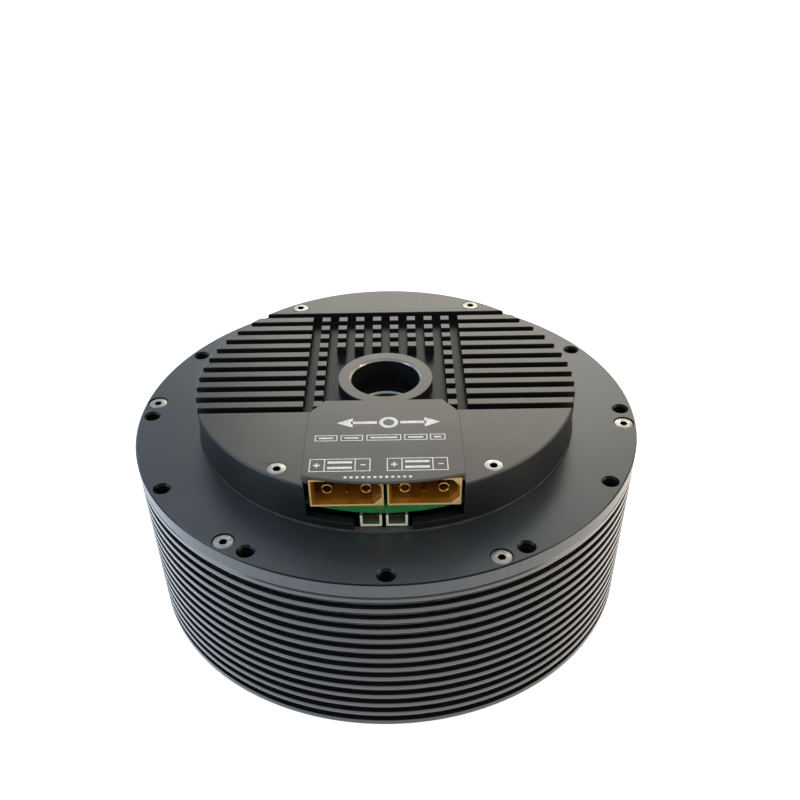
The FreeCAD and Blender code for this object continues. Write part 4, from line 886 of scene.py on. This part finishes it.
def makePrint():
    shapes, (centre, middle) = arrowShapes()
    fields = lidPrint["fields"]
    inX, inY = fields["margin"]
    for x0, x1 in fields["ends"]:
        shapes += frameLines(x0, fields["low"], x1, fields["high"], lidPrint["line"])
        shapes.append(oblong(x0 + inX, fields["low"] + inY, x1 - inX, fields["high"] - inY))
    for x0 in lidPrint["plans"]["starts"]:
        shapes += planShapes(x0)
    row = lidPrint["row"]
    for spot in np.linspace(row["from"], row["to"], row["count"]):
        shapes.append(around(spot, row["middle"], row["size"] / 2, row["size"] / 2))
    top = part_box("connector_lid")[1].z / mm
    low = top - printThickness - lidPrint["sunk"]
    grids = [slab(shape, low, top) for shape in shapes]
    ring = lidPrint["ring"]
    inner, outer = ring["inner"], ring["outer"]
    profile = [(inner, low), (outer, low), (outer, top), (inner, top)]
    points, _, _ = turnedGrid(profile, ring["sides"], (centre, middle))
    makePiece("lidPrint", grids + [(points, True, True)], printWhite, "housing", sharp=20)
    print("lid print made:", len(grids), "shapes")


makePrint()

# Contacts

contacts = {
    "power": {"x": 12.95, "apart": 6.5, "radius": 2, "bore": 1.35, "boreDepth": 9, "lip": 0.22, "sides": 40},
    "signal": {"x": 12.95, "apart": 3, "radius": 0.4, "sides": 16},
    "socketPin": {
        "centre": -0.65,
        "apart": 4.35,
        "pitch": 1.25,
        "count": 4,
        "radius": 0.3,
        "height": 73.6,
        "front": 3.5,
        "back": 1.2,
        "sides": 12,
    },
}


def alongY(grid, x, z):
    # an upright turned grid laid down, so that its heights run backwards and its axis passes through x and z
    points, wrapRows, wrapColumns = grid
    laid = np.stack([points[..., 0] + x * mm, points[..., 2], z * mm - points[..., 1]], -1)
    return laid, wrapRows, wrapColumns


def makePowerBarrels():
    # from the bottom of the bore out over the rounded lip and back along the barrel
    facts = contacts["power"]
    low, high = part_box("power_contacts")
    front, back, height = low.y / mm, high.y / mm, (low.z + high.z) / 2 / mm
    radius, bore, lip = facts["radius"], facts["bore"], facts["lip"]
    floor = front + facts["boreDepth"]
    profile = [(0, floor + 0.5), (bore * 0.9, floor), (bore, floor - 0.3), (bore, front + lip * 2)]
    profile += [(bore + lip * 0.6, front + lip * 0.5), (bore + lip * 1.4, front), (radius - lip, front)]
    profile += [(radius - lip * 0.3, front + lip * 0.3), (radius, front + lip), (radius, back), (0, back)]
    spots = [side * facts["x"] + across * facts["apart"] for side in (-1, 1) for across in (-1, 1)]
    grids = [alongY(turnedGrid(profile, facts["sides"]), x, height) for x in spots]
    gold, slot = finishes["gold_contact"], slotOf["power_contacts"]
    makePiece("powerBarrels", grids, gold, "housing", ["power_contacts"], 40)
    return height


def makeSignalPins(height):
    # thin pins with a rounded nose, two in each power connector
    facts = contacts["signal"]
    low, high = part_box("signal_contacts")
    front, back, radius = low.y / mm, high.y / mm, facts["radius"]
    profile = [(0, front), (radius * 0.5, front + 0.08), (radius * 0.87, front + 0.25), (radius, front + 0.5)]
    profile += [(radius, back), (0, back)]
    spots = [(side * facts["x"], height + up * facts["apart"]) for side in (-1, 1) for up in (-1, 1)]
    grids = [alongY(turnedGrid(profile, facts["sides"]), x, z) for x, z in spots]
    gold, slot = finishes["gold_contact"], slotOf["signal_contacts"]
    makePiece("signalPins", grids, gold, "housing", ["signal_contacts"], 40)


def makeSocketPins():
    # a row of thin pins in each signal socket
    facts = contacts["socketPin"]
    low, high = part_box("signal_sockets")
    front, back, radius = low.y / mm + facts["front"], high.y / mm - facts["back"], facts["radius"]
    profile = [(0, front), (radius * 0.6, front + 0.1), (radius, front + 0.4), (radius, back), (0, back)]
    offsets = (np.arange(facts["count"]) - (facts["count"] - 1) / 2) * facts["pitch"]
    spots = [facts["centre"] + side * facts["apart"] + offset for side in (-1, 1) for offset in offsets]
    grids = [alongY(turnedGrid(profile, facts["sides"]), x, facts["height"]) for x in spots]
    makePiece("socketPins", grids, finishes["gold_contact"], "housing", sharp=40)


makeSignalPins(makePowerBarrels())
makeSocketPins()
print("contacts made")

# Screws: hexagon sockets in countersunk heads on top, and in low cylinder heads underneath

screws = {
    "plate_screws": {"ring": (92.4, 6, -6), "head": 3.6, "depth": 2.2, "shank": 1.65, "key": 2.5},
    "cover_screws": {"corner": (36.5, 57), "head": 3.3, "depth": 2.2, "shank": 1.65, "key": 2.5},
    "clamp_screws": {"ring": (87.5, 12, 15), "head": 2.75, "depth": 2.7, "shank": 1.25, "key": 2.5},
    "foot_screws": {"ring": (16.5, 6, 30), "head": 2.7, "depth": 1.8, "shank": 1.25, "key": 2},
}
screwShape = {
    "sunk": ("plate_screws", "cover_screws"),
    "socketDepth": 1.6,
    "headLeft": 0.4,  # metal that stays under the socket
    "socketCone": 0.35,
    "mouth": 0.1,
    "tip": 0.4,
    "sides": 48,
    # (inside the head's edge, below its face), round the edge of the head
    "sunkRim": [(0.32, 0), (0.14, 0.05), (0.16, 0.18)],
    "lowRim": [(0.3, 0), (0.09, 0.09), (0, 0.3)],
}


def makeScrews(node, body):
    # Rows of (radius, distance from the head's face, share of hexagon) run from the socket's floor over the
    # head to the end of the thread, and are carried round each screw's axis.
    facts, shape = screws[node], screwShape
    sunk = node in shape["sunk"]
    head, depth, shank, mouth = facts["head"], facts["depth"], facts["shank"], shape["mouth"]
    corner, tip = facts["key"] / math.sqrt(3), shape["tip"]
    low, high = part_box(node)
    length = (high.z - low.z) / mm
    socket = min(depth - shape["headLeft"], shape["socketDepth"])
    rows = [(0, socket + shape["socketCone"], 0), (corner * 0.8, socket, 1), (corner, socket - 0.05, 1)]
    rows += [(corner, mouth, 1), (corner + mouth, 0, 0.7)]
    rows += [(head - inside, below, 0) for inside, below in shape["sunkRim" if sunk else "lowRim"]]
    rows += [] if sunk else [(head, depth, 0)]
    rows += [(shank, depth, 0), (shank, length - tip, 0), (shank - tip, length, 0), (0, length, 0)]
    face, way = (high.z / mm, -1) if sunk else (low.z / mm, 1)
    profile = [(radius, face + way * below) for radius, below, _ in rows]
    if "ring" in facts:
        spots = ringOf(*facts["ring"])
    else:
        spots = [(x * facts["corner"][0], y * facts["corner"][1]) for x in (-1, 1) for y in (-1, 1)]
    sides = shape["sides"]
    grids = [turnedGrid(profile, sides, spot, [share for _, _, share in rows]) for spot in spots]
    # the socket's rows are marked; the screws' finish paints shade there
    socketRows = 4
    inSocket = np.repeat(np.arange(len(rows)) < socketRows, sides)
    marks = ("socket", np.tile(inSocket, len(spots)))
    makePiece(node + "Hexed", grids, finishes[slotOf[node]], body, [node], 25, marks)


for name in ("plate_screws", "cover_screws", "clamp_screws"):
    makeScrews(name, "housing")
makeScrews("foot_screws", "output")
print("screws made")

# Threads of the mounting holes

threads = {
    "radius": 2.5,
    "depth": 0.28,
    "pitch": 1.0,
    "stepsPerTurn": 20,
    "rootLap": 0.04,  # into the wall
    "ridgeHalf": 0.36,  # as a share of the pitch
    "fadeAngle": 1.2,  # radians in which the ridge grows
    "plate": {"ring": (92.3, 12, -90), "low": 65.2, "belowFace": 0.8},
    "output": {"ring": (56, 12, 15), "aboveFace": 0.3, "depth": 10.5},
}


def threadGrid(spot, low, high):
    # a ridge that climbs one pitch a turn on the wall of a hole; its three-cornered section shrinks to
    # nothing at both ends
    facts = threads
    pitch, lap, half = facts["pitch"], facts["rootLap"], facts["ridgeHalf"]
    turns = (high - low) / pitch - 1
    angle = np.linspace(0, 2 * np.pi * turns, int(turns * facts["stepsPerTurn"]) + 1)
    size = np.clip(np.minimum(angle, angle[-1] - angle) / facts["fadeAngle"], 0, 1)
    reach = facts["radius"] + np.array([lap, -facts["depth"], lap])[:, None] * size
    climb = low + pitch / 2 + pitch * angle / (2 * np.pi)
    height = climb + np.array([-half, 0, half])[:, None] * pitch * size
    points = np.stack([spot[0] + reach * np.cos(angle), spot[1] + reach * np.sin(angle), height], -1)
    return points * mm, True, False


def makeThreads(name, node, finish, body, ring, low, high):
    grids = [threadGrid(spot, low, high) for spot in ringOf(*ring)]
    makePiece(name, grids, finish, body, sharp=60)


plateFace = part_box("rear_plate")[1].z / mm
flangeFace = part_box("output_flange")[0].z / mm
flangeFinish = finishes[slotOf["output_flange"]]
span = threads["plate"]
ends = (span["low"], plateFace - span["belowFace"])
makeThreads("plateThreads", "rear_plate", shadedThreadBlack, "housing", span["ring"], *ends)
span = threads["output"]
ends = (flangeFace + span["aboveFace"], flangeFace + span["depth"])
makeThreads("outputThreads", "output_flange", flangeFinish, "output", span["ring"], *ends)
print("threads made")
